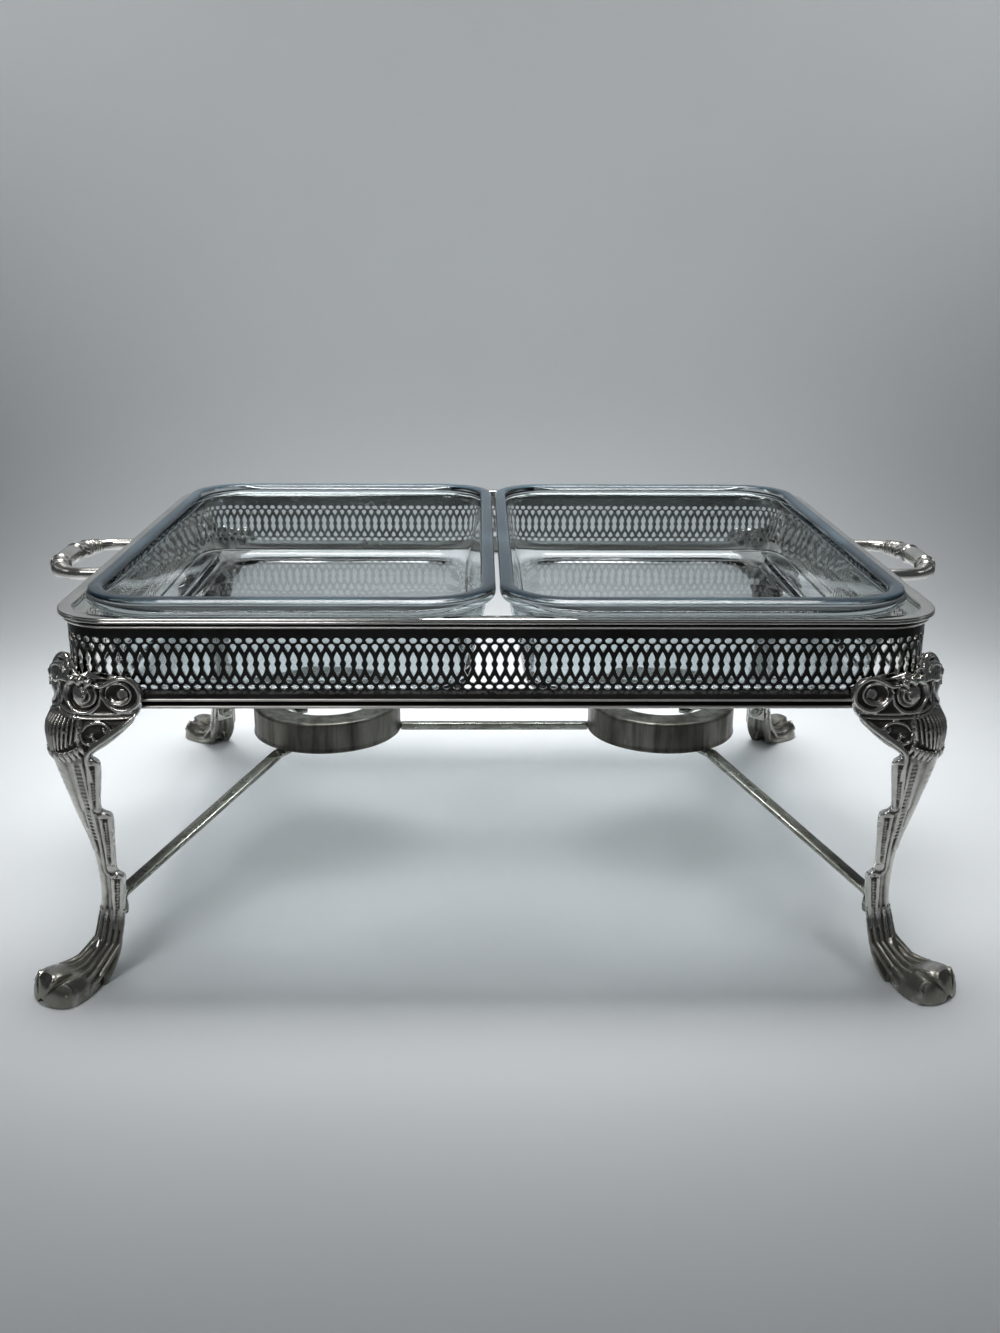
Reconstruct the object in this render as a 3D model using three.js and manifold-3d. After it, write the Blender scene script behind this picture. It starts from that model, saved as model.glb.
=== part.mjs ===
// Two-dish buffet warmer: a pierced gallery on four legs, with two glass dishes and two burner rings.
// Millimetres, +Z up, the floor at z = 0, the long side along X, the front at -Y.
import * as THREE from "three";
import Module from "manifold-3d";

const wasm = await Module();
wasm.setup();

// Driving sizes of the gallery
const LENGTH = 380; // over the rolled lip
const WIDTH = 294;
const LIP_OUT = 3.4; // how far the lip stands out from the band
const BAND_R = 23.6; // outside radius of the band's corners
const BAND_T = 1.5;
const BAND_BOTTOM = 132.5;
const BAND_TOP = 168;
const SLOT = { low: BAND_BOTTOM + 12.1, high: BAND_TOP - 12, half: 1.6 }; // the long pierced openings
const SLOT_WAIST = 0.5 * (SLOT.low + SLOT.high); // height where an opening is widest
const PITCH = 4.58;
const FIT = 0.3; // clearance between pieces that are fitted together
const X_BAND = LENGTH / 2 - LIP_OUT; // band's outer face on the short sides
const Y_BAND = WIDTH / 2 - LIP_OUT; // band's outer face on the long sides
const CX = X_BAND - BAND_R; // centre of a corner arc
const CY = Y_BAND - BAND_R;
const LIP_TOP = BAND_TOP + 3;
const LEG_IN = 23.6; // from the band's faces in to a leg's own middle line
const LX = X_BAND - LEG_IN;
const LY = Y_BAND - LEG_IN;

// Driving sizes of what stands on and hangs under the gallery
const DISH = {
  out: LENGTH / 2 - 9.2, middle: 0.8, half: WIDTH / 2 + 0.3, low: LIP_TOP + FIT, thick: 5.3, floor: BAND_BOTTOM + 0.5,
};
const RING = { x: LENGTH / 4 - 4, r: 39.9, hole: 25, low: 66.8, high: 83.1, wall: 1.3 };
const LEG_SCREW = { along: -4, z: BAND_BOTTOM + 5.2, hole: 1.35, shank: 1.15 };
const HANDLE = { y: 33, z: BAND_TOP - 6.6, reach: X_BAND + 37.7, bar: 3.1, grip: 4.7, hole: 1.75, shank: 1.5 };
const LUG = { d: 15.4, z: 28.5, thick: 2.4, half: 4.2 }; // stretcher's lug, d is measured along the diagonal

const SILVER = new THREE.MeshStandardMaterial({ color: 0x9c9a95, metalness: 1, roughness: 0.25 });
const NICKEL = new THREE.MeshStandardMaterial({ color: 0x8b8778, metalness: 1, roughness: 0.45 });
const STEEL = new THREE.MeshStandardMaterial({ color: 0x77746c, metalness: 1, roughness: 0.4 });
const GLASS = new THREE.MeshStandardMaterial({ color: 0xb9c8cc, transparent: true, opacity: 0.35 });

const root = new THREE.Group();
root.name = "double_chafing_dish";

// Turns a manifold solid into a named mesh of the group
function addSolid(name, solid, material) {
  const m = solid.getMesh();
  const v = new Float32Array(m.numVert * 3);
  for (let i = 0; i < m.numVert; i++) v.set(m.vertProperties.subarray(i * m.numProp, i * m.numProp + 3), i * 3);
  const g = new THREE.BufferGeometry();
  g.setAttribute("position", new THREE.BufferAttribute(v, 3));
  g.setIndex(new THREE.BufferAttribute(new Uint32Array(m.triVerts), 1));
  g.computeVertexNormals();
  const mesh = new THREE.Mesh(g, material);
  mesh.name = name;
  root.add(mesh);
}

function solidFrom(points, triangles) {
  const s = new wasm.Manifold(
    new wasm.Mesh({ numProp: 3, vertProperties: new Float32Array(points.flat()), triVerts: new Uint32Array(triangles.flat()) }),
  );
  return s;
}

// Skins a row of equal rings; the last joins the first when it is a loop, else both ends are capped
function loft(rings, { loop = false, strip = false } = {}) {
  const n = rings[0].length;
  const tris = [];
  const rows = loop ? rings.length : rings.length - 1;
  for (let k = 0; k < rows; k++)
    for (let i = 0; i < n; i++) {
      const a = k * n + i;
      const b = k * n + ((i + 1) % n);
      const c = ((k + 1) % rings.length) * n + i;
      const d = ((k + 1) % rings.length) * n + ((i + 1) % n);
      tris.push([a, b, d], [a, d, c]);
    }
  if (!loop) {
    const last = (rings.length - 1) * n;
    if (strip)
      for (let i = 0; i < n / 2 - 1; i++) {
        const j = n - 1 - i;
        tris.push([i, j, j - 1], [i, j - 1, i + 1]);
        tris.push([last + i, last + j - 1, last + j], [last + i, last + i + 1, last + j - 1]);
      }
    else
      for (let i = 1; i < n - 1; i++) {
        tris.push([0, i + 1, i]);
        tris.push([last, last + i, last + i + 1]);
      }
  }
  const s = solidFrom(rings.flat(), tris);
  return s.volume() < 0 ? solidFrom(rings.flat(), tris.map(([a, b, c]) => [a, c, b])) : s;
}

// Points round a rectangle with round corners
function roundedRect(hx, hy, r, z, steps = 5, ox = 0, oy = 0) {
  const pts = [];
  [[1, 1], [-1, 1], [-1, -1], [1, -1]].forEach(([sx, sy], q) => {
    for (let i = 0; i <= steps; i++) {
      const t = ((q * 90 + (i * 90) / steps) * Math.PI) / 180;
      pts.push([ox + sx * (hx - r) + r * Math.cos(t), oy + sy * (hy - r) + r * Math.sin(t), z]);
    }
  });
  return pts;
}

function cylinderAlong(from, to, radius, sides = 12) {
  const a = new THREE.Vector3(...from);
  const b = new THREE.Vector3(...to);
  const q = new THREE.Quaternion().setFromUnitVectors(new THREE.Vector3(0, 0, 1), b.clone().sub(a).normalize());
  const ring = (p) =>
    Array.from({ length: sides }, (_, i) => {
      const t = ((i + 0.5) * 2 * Math.PI) / sides;
      return new THREE.Vector3(radius * Math.cos(t), radius * Math.sin(t), 0).applyQuaternion(q).add(p).toArray();
    });
  return loft([ring(a), ring(b)]);
}

// Upright block set square to a corner's diagonal, from distance d0 to d1 and w to each side
function diagonalBlock(d0, d1, w, z0, z1, place = (u, v) => [u, v]) {
  return loft(
    [z0, z1].map((z) =>
      [[d0, -w], [d1, -w], [d1, w], [d0, w]].map(([d, k]) => [
        ...place((d - k) / Math.SQRT2, (d + k) / Math.SQRT2), z,
      ]),
    ),
  );
}

// Round-headed screw: the head's flat sits at `seat`, the shank runs on for `length`
function screw(seat, direction, headRadius, headHeight, shankRadius, length) {
  const at = (k) => seat.map((v, i) => v + direction[i] * k);
  const head = cylinderAlong(at(-headHeight), at(0), headRadius, 8);
  return head.add(cylinderAlong(at(-0.2), at(length), shankRadius, 6));
}

// Gallery

// One flat run of the pierced band, made lying along +X and turned to its side
function bandPanel(name, length, angle, offset, holes) {
  const shape = new THREE.Shape();
  shape.moveTo(-length / 2, BAND_BOTTOM);
  shape.lineTo(length / 2, BAND_BOTTOM);
  shape.lineTo(length / 2, BAND_TOP);
  shape.lineTo(-length / 2, BAND_TOP);
  shape.closePath();
  const count = Math.round(length / PITCH);
  const step = length / count;
  const { low, high, half } = SLOT;
  for (let i = 0; i < count; i++) {
    const x = -length / 2 + (i + 0.5) * step;
    const slot = new THREE.Path();
    slot.moveTo(x, low);
    slot.lineTo(x - half, SLOT_WAIST);
    slot.lineTo(x, high);
    slot.lineTo(x + half, SLOT_WAIST);
    slot.closePath();
    shape.holes.push(slot);
  }
  holes.forEach(([x, z, r]) => {
    const h = new THREE.Path();
    for (let k = 0; k < 8; k++) {
      const t = (-(k + 0.5) * Math.PI) / 4;
      h[k ? "lineTo" : "moveTo"](x + r * Math.cos(t), z + r * Math.sin(t));
    }
    h.closePath();
    shape.holes.push(h);
  });
  const g = new THREE.ExtrudeGeometry(shape, { depth: BAND_T, bevelEnabled: false });
  const p = g.getAttribute("position");
  const [c, s] = [Math.round(Math.cos(angle)), Math.round(Math.sin(angle))];
  for (let i = 0; i < p.count; i++) {
    const [x, z, d] = [p.getX(i), p.getY(i), p.getZ(i)];
    const y = -(offset - (BAND_T - d));
    p.setXYZ(i, x * c - y * s, x * s + y * c, z);
  }
  g.computeVertexNormals();
  const mesh = new THREE.Mesh(g, SILVER);
  mesh.name = name;
  root.add(mesh);
}

const legHoles = (half) =>
  [-1, 1].map((s) => [s * (half + LEG_SCREW.along), LEG_SCREW.z, LEG_SCREW.hole]);
bandPanel("band_front", 2 * CX, 0, Y_BAND, legHoles(LX));
bandPanel("band_rear", 2 * CX, Math.PI, Y_BAND, legHoles(LX));
const handleHoles = [-1, 1].map((s) => [s * HANDLE.y, HANDLE.z, HANDLE.hole]);
bandPanel("band_right", 2 * CY, Math.PI / 2, X_BAND, [...legHoles(LY), ...handleHoles]);
bandPanel("band_left", 2 * CY, -Math.PI / 2, X_BAND, [...legHoles(LY), ...handleHoles]);

// Quarter-round corner of the band with its own pierced openings
function bandCorner(name, sx, sy) {
  const n = 8;
  const outer = [];
  const inner = [];
  for (let i = 0; i <= n; i++) {
    const t = (i * Math.PI) / 2 / n;
    outer.push([BAND_R * Math.cos(t), BAND_R * Math.sin(t)]);
    inner.push([(BAND_R - BAND_T) * Math.cos(t), (BAND_R - BAND_T) * Math.sin(t)]);
  }
  const flat = [...outer, ...inner.reverse()];
  const place = (z) => flat.map(([u, v]) => [sx * (CX + u), sy * (CY + v), z]);
  let solid = loft([place(BAND_BOTTOM), place(BAND_TOP)], { strip: true });
  const { low, high, half } = SLOT;
  const slot = [[0, low], [half, SLOT_WAIST], [0, high], [-half, SLOT_WAIST]];
  for (let i = 0; i < n; i++) {
    const t = ((i + 0.5) * Math.PI) / 2 / n;
    const ring = (r) =>
      slot.map(([w, z]) => [
        sx * (CX + r * Math.cos(t) - w * Math.sin(t)),
        sy * (CY + r * Math.sin(t) + w * Math.cos(t)),
        z,
      ]);
    solid = solid.subtract(loft([ring(BAND_R - 4), ring(BAND_R + 2)]));
  }
  addSolid(name, solid, SILVER);
}

// A profile of (stand-out, height) pairs carried round the whole gallery
function runRound(profile, steps = 8) {
  const rings = profile.map(([o, z]) =>
    roundedRect(X_BAND + o, Y_BAND + o, BAND_R + o, z, steps),
  );
  return loft(rings, { loop: true });
}

addSolid(
  "top_rim",
  runRound([
    [-1.1 - BAND_T, BAND_TOP], [FIT - 0.1, BAND_TOP], [FIT - 0.1, LIP_TOP - 5.8], [1.4, LIP_TOP - 5.5],
    [1.4, LIP_TOP - 4.1], [0.8, LIP_TOP - 3.2], [LIP_OUT, LIP_TOP - 2.4], [LIP_OUT, LIP_TOP - 0.9], [1.6, LIP_TOP],
    [-1.1 - BAND_T, LIP_TOP - 0.8],
  ]),
  SILVER,
);
const MOULDING_LOW = BAND_BOTTOM - 2;
addSolid(
  "lower_moulding",
  runRound([
    [-0.9 - BAND_T, MOULDING_LOW], [1.6, MOULDING_LOW], [1, MOULDING_LOW + 1.8], [1, MOULDING_LOW + 4.3],
    [FIT - 0.1, MOULDING_LOW + 4.3], [FIT - 0.1, BAND_BOTTOM], [-0.9 - BAND_T, BAND_BOTTOM],
  ]),
  SILVER,
);

// Legs

// Height, outer face, ridge radius, end of the two arms, thickness: all measured from the corner arc's centre
const LEG = [
  [153, 28.6, 16, 21, 2.2], [150, 29, 15, 13, 2.8], [147.5, 29, 16, 2, 3], [145, 28.7, 18, -8, 3],
  [140, 28.6, 19, -13.2, 3], [134, 28.7, 18.5, -10.8, 3], [130, 29.8, 15, -9.6, 3.2],
  [124, 31.5, 12.3, -6, 3.6], [116, 31.4, 12, 2.5, 3.4], [112, 30.8, 11.5, 8.8, 3.2],
  [108, 30.2, 11, 7.6, 3.2], [83, 24.6, 8.5, 10.8, 3], [79.5, 23.8, 8, 6.4, 3],
  [66, 20.2, 7, 7.5, 3], [53, 18.4, 6, 8.3, 3], [46.5, 17.9, 5.5, 5.2, 3], [35, 17.7, 5.5, 6, 3],
  [25, 19.4, 6, 7.4, 3.2], [14, 23.3, 7, 9.5, 3.4], [6, 27.6, 8, 13, 3.4], [0, 30.5, 9, 17, 3.4],
];

// Below the ankle the leg leans a little more to the front or rear than to the side
const lean = (z) => Math.max(1 - z / 26, 0);
const LEAN = [-2.8, 4.2];

function legSection([z, face, ridge, end, thick]) {
  const arc = 3;
  const outer = [[face, end]];
  const inner = [[face - thick, end]];
  const c = face - ridge;
  const r2 = Math.max(ridge - thick, 0.8);
  const c2 = face - thick - r2;
  for (let i = 0; i <= arc; i++) {
    const t = (i * Math.PI) / 2 / arc;
    outer.push([c + ridge * Math.cos(t), c + ridge * Math.sin(t)]);
    inner.push([c2 + r2 * Math.cos(t), c2 + r2 * Math.sin(t)]);
  }
  outer.push([end, face]);
  inner.push([end, face - thick]);
  const k = lean(z);
  return [...outer, ...inner.reverse()].map(([u, v]) => [u + k * LEAN[0], v + k * LEAN[1], z]);
}

// Paw: a low rounded hollow form reaching out along the diagonal
function pawSolid(grow, shift) {
  const rows = [[0, 0.82], [4, 1], [9, 0.95], [13.5, 0.66], [16, 0.25]];
  const rings = rows.map(([z, k]) =>
    Array.from({ length: 10 }, (_, i) => {
      const t = (i * 2 * Math.PI) / 10;
      const d = 43.5 + shift + (15.5 - grow) * k * Math.cos(t);
      const w = (13.6 - grow) * k * Math.sin(t);
      const height = Math.max(z - grow * (z / 16), 0) - (grow ? 1 : 0);
      return [(d - w) / Math.SQRT2 + LEAN[0], (d + w) / Math.SQRT2 + LEAN[1], height];
    }),
  );
  return loft(rings);
}

function legSolid() {
  let leg = loft(LEG.map(legSection), { strip: true });
  leg = leg.add(pawSolid(0, 0)).subtract(pawSolid(3, -4.5));
  // the block in the inner corner that the stretcher's lug is screwed to
  const block = diagonalBlock(LUG.d + FIT, LUG.d + 60, 30, LUG.z - 7, LUG.z + 7);
  const inside = loft(
    [[LUG.z - 7, 19.2], [LUG.z + 7, 17.4]].map(([z, f]) =>
      [[3, 3], [f, 3], [f, f], [3, f]].map(([u, v]) => [u, v, z]),
    ),
  );
  leg = leg.add(inside.intersect(block));
  // bosses that meet the band, and the blind holes for the leg screws
  const { along, z, hole } = LEG_SCREW;
  const face = LEG_IN + FIT;
  leg = leg.add(cylinderAlong([face, along, z], [LEG_IN + 3.4, along, z], 2.5, 8));
  leg = leg.add(cylinderAlong([along, face, z], [along, LEG_IN + 3.4, z], 2.5, 8));
  leg = leg.subtract(cylinderAlong([face - 1, along, z], [LEG_IN + 4, along, z], hole, 6));
  leg = leg.subtract(cylinderAlong([along, face - 1, z], [along, LEG_IN + 4, z], hole, 6));
  const d = (k) => [k / Math.SQRT2, k / Math.SQRT2, LUG.z];
  return leg.subtract(cylinderAlong(d(LUG.d - 1), d(LUG.d + 5), 1.45, 6));
}

const CORNERS = [["front_left", -1, -1], ["front_right", 1, -1], ["rear_left", -1, 1], ["rear_right", 1, 1]];
const oneLeg = legSolid();
CORNERS.forEach(([tag, sx, sy]) => {
  bandCorner("band_corner_" + tag, sx, sy);
  addSolid("leg_" + tag, oneLeg.scale([sx, sy, 1]).translate([sx * LX, sy * LY, 0]), SILVER);
  const { along, z, shank } = LEG_SCREW;
  const inner = LEG_IN - BAND_T;
  const side = screw([sx * (LX + inner), sy * (LY + along), z], [sx, 0, 0], 2.5, 1.8, shank, 4.9);
  const long = screw([sx * (LX + along), sy * (LY + inner), z], [0, sy, 0], 2.5, 1.8, shank, 4.9);
  addSolid("leg_screw_side_" + tag, side, STEEL);
  addSolid("leg_screw_long_" + tag, long, STEEL);
});

// Side handles

// A bar of round section carried along a path in the plane z = HANDLE.z
function handleSolid(sx) {
  const path = [];
  const { y, reach, bar, grip, hole } = HANDLE;
  const start = X_BAND + FIT;
  const bend = X_BAND + 17.4;
  path.push([start, -y, bar + 0.5], [start + 2.2, -y, bar + 0.5], [start + 2.9, -y, bar], [bend + 2, -y, bar]);
  for (let k = 1; k <= 9; k++) {
    const t = (-90 + k * 18) * (Math.PI / 180);
    const px = bend + (reach - bend) * Math.sign(Math.cos(t)) * Math.abs(Math.cos(t)) ** 0.8;
    const py = y * Math.sign(Math.sin(t)) * Math.abs(Math.sin(t)) ** 0.9;
    path.push([px, py, bar + (grip - bar) * Math.cos(t) ** 2]);
  }
  path.push([bend + 2, y, bar], [start + 2.9, y, bar], [start + 2.2, y, bar + 0.5], [start, y, bar + 0.5]);
  const rings = path.map(([px, py, r], i) => {
    const a = path[Math.max(i - 1, 0)];
    const b = path[Math.min(i + 1, path.length - 1)];
    let [tx, ty] = [b[0] - a[0], b[1] - a[1]];
    if (i < 3) [tx, ty] = [1, 0];
    if (i > path.length - 4) [tx, ty] = [-1, 0];
    const m = Math.hypot(tx, ty);
    return Array.from({ length: 8 }, (_, k) => {
      const t = ((k + 0.5) * 2 * Math.PI) / 8;
      return [sx * (px - (ty / m) * r * Math.cos(t)), py + (tx / m) * r * Math.cos(t), HANDLE.z + r * Math.sin(t)];
    });
  });
  let solid = loft(rings);
  [-1, 1].forEach((s) => {
    solid = solid.subtract(cylinderAlong([sx * (start - 1), s * y, HANDLE.z], [sx * (start + 8), s * y, HANDLE.z], hole, 8));
  });
  return solid;
}

[["left", -1], ["right", 1]].forEach(([tag, sx]) => {
  addSolid("handle_" + tag, handleSolid(sx), SILVER);
  [["front", -1], ["rear", 1]].forEach(([end, sy]) => {
    const seat = [sx * (X_BAND - BAND_T), sy * HANDLE.y, HANDLE.z];
    addSolid("handle_screw_" + tag + "_" + end, screw(seat, [sx, 0, 0], 3, 2, HANDLE.shank, 9), STEEL);
  });
});

// Burner rings with their tie bar and stretchers

// Short cup turned about its own upright axis, open below and with a hole in its top plate
function burnerRing(name, cx) {
  const { r, hole, low, high, wall } = RING;
  const profile = [
    [r, low], [r, high - 1.1], [r - 1.2, high], [hole, high], [hole, high - 1.3], [r - wall, high - 1.3],
    [r - wall, low], [r, low],
  ];
  const mesh = new THREE.Mesh(new THREE.LatheGeometry(profile.map(([x, z]) => new THREE.Vector2(x, z)), 32), NICKEL);
  mesh.name = name;
  mesh.rotation.x = Math.PI / 2;
  mesh.position.x = cx;
  root.add(mesh);
}
burnerRing("burner_ring_left", -RING.x);
burnerRing("burner_ring_right", RING.x);

const TIE = { low: RING.low - 1.3, high: RING.low + 2.8, half: 2.1 };
const tieEnd = RING.x - RING.r - FIT;
const tieBar = new THREE.Mesh(new THREE.BoxGeometry(2 * tieEnd, 2 * TIE.half, TIE.high - TIE.low), NICKEL);
tieBar.name = "tie_bar";
tieBar.position.z = (TIE.low + TIE.high) / 2;
root.add(tieBar);

// Flat bar from under a ring's wall down to the leg, with an upright lug at its end
function stretcher(sx, sy) {
  const lugX = LX + LUG.d / Math.SQRT2;
  const lugY = LY + LUG.d / Math.SQRT2;
  const [dx, dy] = [lugX - RING.x, lugY];
  const m = Math.hypot(dx, dy);
  const [ux, uy] = [dx / m, dy / m];
  const top = RING.low - FIT;
  const run = m - LUG.thick * 0.9;
  const line = [[RING.r - 7, top], [RING.r + 2, top], [run - 1, LUG.z + 7.6], [run + 0.6, LUG.z + 6]];
  const rings = line.map(([k, z]) =>
    [[-2.7, 0], [2.7, 0], [2.7, -2.6], [-2.7, -2.6]].map(([w, dz]) => [
      sx * (RING.x + ux * k - uy * w), sy * (uy * k + ux * w), z + dz,
    ]),
  );
  const bar = loft(rings);
  const lug = loft(
    [LUG.d - LUG.thick, LUG.d].map((d) =>
      Array.from({ length: 10 }, (_, i) => {
        const t = (i * 2 * Math.PI) / 10;
        const w = LUG.half * Math.cos(t);
        const z = LUG.z + (Math.sin(t) > 0 ? 6.6 : 5.4) * Math.sin(t);
        return [sx * (LX + (d - w) / Math.SQRT2), sy * (LY + (d + w) / Math.SQRT2), z];
      }),
    ),
  );
  const d = (k) => [sx * (LX + k / Math.SQRT2), sy * (LY + k / Math.SQRT2), LUG.z];
  const place = (u, v) => [sx * (LX + u), sy * (LY + v)];
  const beyond = diagonalBlock(LUG.d, LUG.d + 20, 20, LUG.z - 12, LUG.z + 20, place);
  return bar.add(lug).subtract(beyond).subtract(cylinderAlong(d(LUG.d - 5), d(LUG.d + 3), 1.45, 6));
}

CORNERS.forEach(([tag, sx, sy]) => {
  addSolid("stretcher_" + tag, stretcher(sx, sy), NICKEL);
  const k = (LUG.d - LUG.thick) / Math.SQRT2;
  const seat = [sx * (LX + k), sy * (LY + k), LUG.z];
  const h = Math.SQRT1_2;
  addSolid("stretcher_screw_" + tag, screw(seat, [sx * h, sy * h, 0], 2.7, 2, 1.2, 6.4), STEEL);
});

// Glass dishes

function dishSolid(sx) {
  const { out, middle, half, low, thick, floor } = DISH;
  const high = low + thick;
  const mid = (out + middle) / 2;
  const hx = (out - middle) / 2;
  const rows = [
    [16, floor - 4.4, 24], [11.4, floor - 2, 26], [7.6, low, 27], [0.6, low, 31.4], [0, low + 1.4, 32],
    [0, high - 1.8, 32], [2.2, high, 30.6], [7, high - 0.5, 27], [11.6, high - 5, 24.6], [15.4, floor + 4, 22],
    [21, floor, 18],
  ];
  return loft(rows.map(([inset, z, r]) => roundedRect(hx - inset, half - inset, r, z, 4, sx * mid)));
}
addSolid("glass_dish_left", dishSolid(-1), GLASS);
addSolid("glass_dish_right", dishSolid(1), GLASS);

export default root;
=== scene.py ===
import math

import bpy
from mathutils import Matrix, Vector


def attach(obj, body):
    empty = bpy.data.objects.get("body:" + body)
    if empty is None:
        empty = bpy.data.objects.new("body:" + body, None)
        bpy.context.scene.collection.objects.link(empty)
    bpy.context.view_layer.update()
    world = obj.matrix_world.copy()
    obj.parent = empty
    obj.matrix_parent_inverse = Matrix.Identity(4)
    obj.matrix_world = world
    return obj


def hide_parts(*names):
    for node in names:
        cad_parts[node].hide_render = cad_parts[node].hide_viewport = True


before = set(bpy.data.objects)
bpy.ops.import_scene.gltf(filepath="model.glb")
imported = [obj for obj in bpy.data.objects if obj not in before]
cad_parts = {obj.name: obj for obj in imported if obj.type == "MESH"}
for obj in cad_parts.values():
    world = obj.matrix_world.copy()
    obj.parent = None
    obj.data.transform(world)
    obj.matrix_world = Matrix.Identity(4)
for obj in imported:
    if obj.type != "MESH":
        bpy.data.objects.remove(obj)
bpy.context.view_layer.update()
bpy.ops.object.select_all(action="DESELECT")

# Camera.
# It stands in front of the table, a little left of the middle, and looks down on the dishes.
MM = 0.001  # sizes are in millimetres, and this turns them into metres
PHOTO_LONG_SIDE = 1333
FOCAL_PIXELS = 1290
CAMERA_AT = Vector((-8.26, -662.58, 320.74)) * MM
YAW, PITCH, ROLL = (math.radians(a) for a in (0.972, 18.3, 0.323))
ahead = Vector((math.sin(YAW) * math.cos(PITCH), math.cos(YAW) * math.cos(PITCH), -math.sin(PITCH)))
level = Vector((math.cos(YAW), -math.sin(YAW), 0))
upright = level.cross(ahead)
right = level * math.cos(ROLL) + upright * math.sin(ROLL)
above = upright * math.cos(ROLL) - level * math.sin(ROLL)


def put(name, data):
    """Sets a new object with this data in the scene."""
    data.name = name
    piece = bpy.data.objects.new(name, data)
    bpy.context.scene.collection.objects.link(piece)
    return piece


lens = bpy.data.cameras.new("camera")
lens.sensor_width = 36
lens.lens = FOCAL_PIXELS / PHOTO_LONG_SIDE * lens.sensor_width
camera = put("camera", lens)
camera.matrix_world = Matrix((right, above, -ahead)).transposed().to_4x4()
camera.location = CAMERA_AT
bpy.context.scene.camera = camera
bpy.context.scene.view_settings.view_transform = "Standard"


class Signal:
    """One output of a material's nodes, with the arithmetic of numbers."""

    def __init__(self, finish, socket):
        self.finish, self.socket = finish, socket

    def maths(self, operation, *values):
        return self.finish.node("Math", {"operation": operation}, dict(enumerate(values)))

    def __add__(self, other):
        return self.maths("ADD", self, other)

    __radd__ = __add__

    def __rsub__(self, other):
        return self.maths("SUBTRACT", other, self)

    def __mul__(self, other):
        return self.maths("MULTIPLY", self, other)

    __rmul__ = __mul__

    def between(self, low, high):
        """0 below low, 1 above high, and a soft step between them."""
        inputs = {"Value": self, "From Min": low, "From Max": high}
        return self.finish.node("MapRange", {"interpolation_type": "SMOOTHSTEP"}, inputs)

    def stripe(self, low, from_low, to_high, high):
        """0 below low and above high, 1 from from_low to to_high, and soft steps between them."""
        return self.between(low, from_low) * (1 - self.between(to_high, high))


class Finish:
    """A surface finish: one Principled shader, and the nodes that lead to it."""

    def __init__(self, name, **fixed):
        self.material = bpy.data.materials.new(name)
        self.material.use_nodes = True
        self.tree = self.material.node_tree
        self.shader = self.tree.nodes["Principled BSDF"]
        for key, value in fixed.items():
            self.lead(key.replace("_", " "), value)

    def plug(self, socket, value):
        if isinstance(value, Signal):
            self.tree.links.new(value.socket, socket)
        elif socket.type == "RGBA":
            socket.default_value = (*value, 1)
        else:
            socket.default_value = value

    def lead(self, socket, value):
        self.plug(self.shader.inputs[socket], value)

    def node(self, kind, settings=None, inputs=None, output=0):
        made = self.tree.nodes.new("ShaderNode" + kind)
        for key, value in (settings or {}).items():
            setattr(made, key, value)
        for key, value in (inputs or {}).items():
            self.plug(made.inputs[key], value)
        return Signal(self, made.outputs[output])

    def place(self, stretch=(1, 1, 1)):
        """Where a point lies on the object, in metres, stretched along each axis."""
        spot = self.node("TexCoord", output="Object")
        return self.node("Mapping", {"vector_type": "POINT"}, {"Vector": spot, "Scale": stretch})

    def height(self):
        """Height above the floor, in metres."""
        return self.node("SeparateXYZ", inputs={0: self.place()}, output=2)

    def noise(self, size, detail=3, stretch=(1, 1, 1), roughness=0.5):
        """Cloudy pattern from 0 to 1 whose features are about size metres."""
        inputs = {"Vector": self.place(stretch), "Scale": 1 / size, "Detail": detail, "Roughness": roughness}
        return self.node("TexNoise", {"noise_dimensions": "3D"}, inputs)

    def mix(self, share, first, second):
        """Colour that goes from first to second as share goes from 0 to 1."""
        return self.node("Mix", {"data_type": "RGBA"}, {0: share, 6: first, 7: second}, output=2)

    def bump(self, height, depth, strength):
        """Roughens the surface by up to depth metres."""
        inputs = {"Height": height, "Distance": depth, "Strength": strength}
        self.lead("Normal", self.node("Bump", inputs=inputs))


# Backdrop.
# A pale sheet of paper lies under the object and sweeps up behind it. Its sizes are in metres.
SWEEP_AT, SWEEP_R = 0.62, 0.28
SHEET_WIDE, SHEET_DEEP, SHEET_HIGH, SHEET_LEAN = 6, 3.8, 2.4, 0.12
paper = Finish("backdrop_paper", Roughness=0.75)
paper.lead("Base Color", paper.mix(paper.noise(0.25), (0.74, 0.77, 0.79), (0.80, 0.83, 0.85)))
bpy.ops.mesh.primitive_plane_add(size=1, location=(0, SWEEP_AT - SHEET_DEEP / 2, 0))
floor = bpy.context.object
floor.name = "floor"
floor.scale = (SHEET_WIDE, SHEET_DEEP, 1)
bpy.ops.object.transform_apply(location=True, scale=True)


def pick(kind, test):
    """Opens the active mesh for editing with only the edges or faces that pass the test selected."""
    mesh = bpy.context.object.data
    bpy.ops.object.mode_set(mode="EDIT")
    bpy.ops.mesh.select_mode(type=kind)
    bpy.ops.mesh.select_all(action="DESELECT")
    bpy.ops.object.mode_set(mode="OBJECT")
    for part in mesh.edges if kind == "EDGE" else mesh.polygons:
        part.select = test([mesh.vertices[v].co for v in part.vertices])
    bpy.ops.object.mode_set(mode="EDIT")


def take(piece):
    """Makes the piece the active one, and the only one selected."""
    bpy.ops.object.select_all(action="DESELECT")
    piece.select_set(True)
    bpy.context.view_layer.objects.active = piece


def modify(piece, kind, **settings):
    """Gives the piece one modifier and applies it."""
    take(piece)
    step = piece.modifiers.new(kind.lower(), kind)
    for key, value in settings.items():
        setattr(step, key, value)
    bpy.ops.object.modifier_apply(modifier=step.name)


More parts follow.
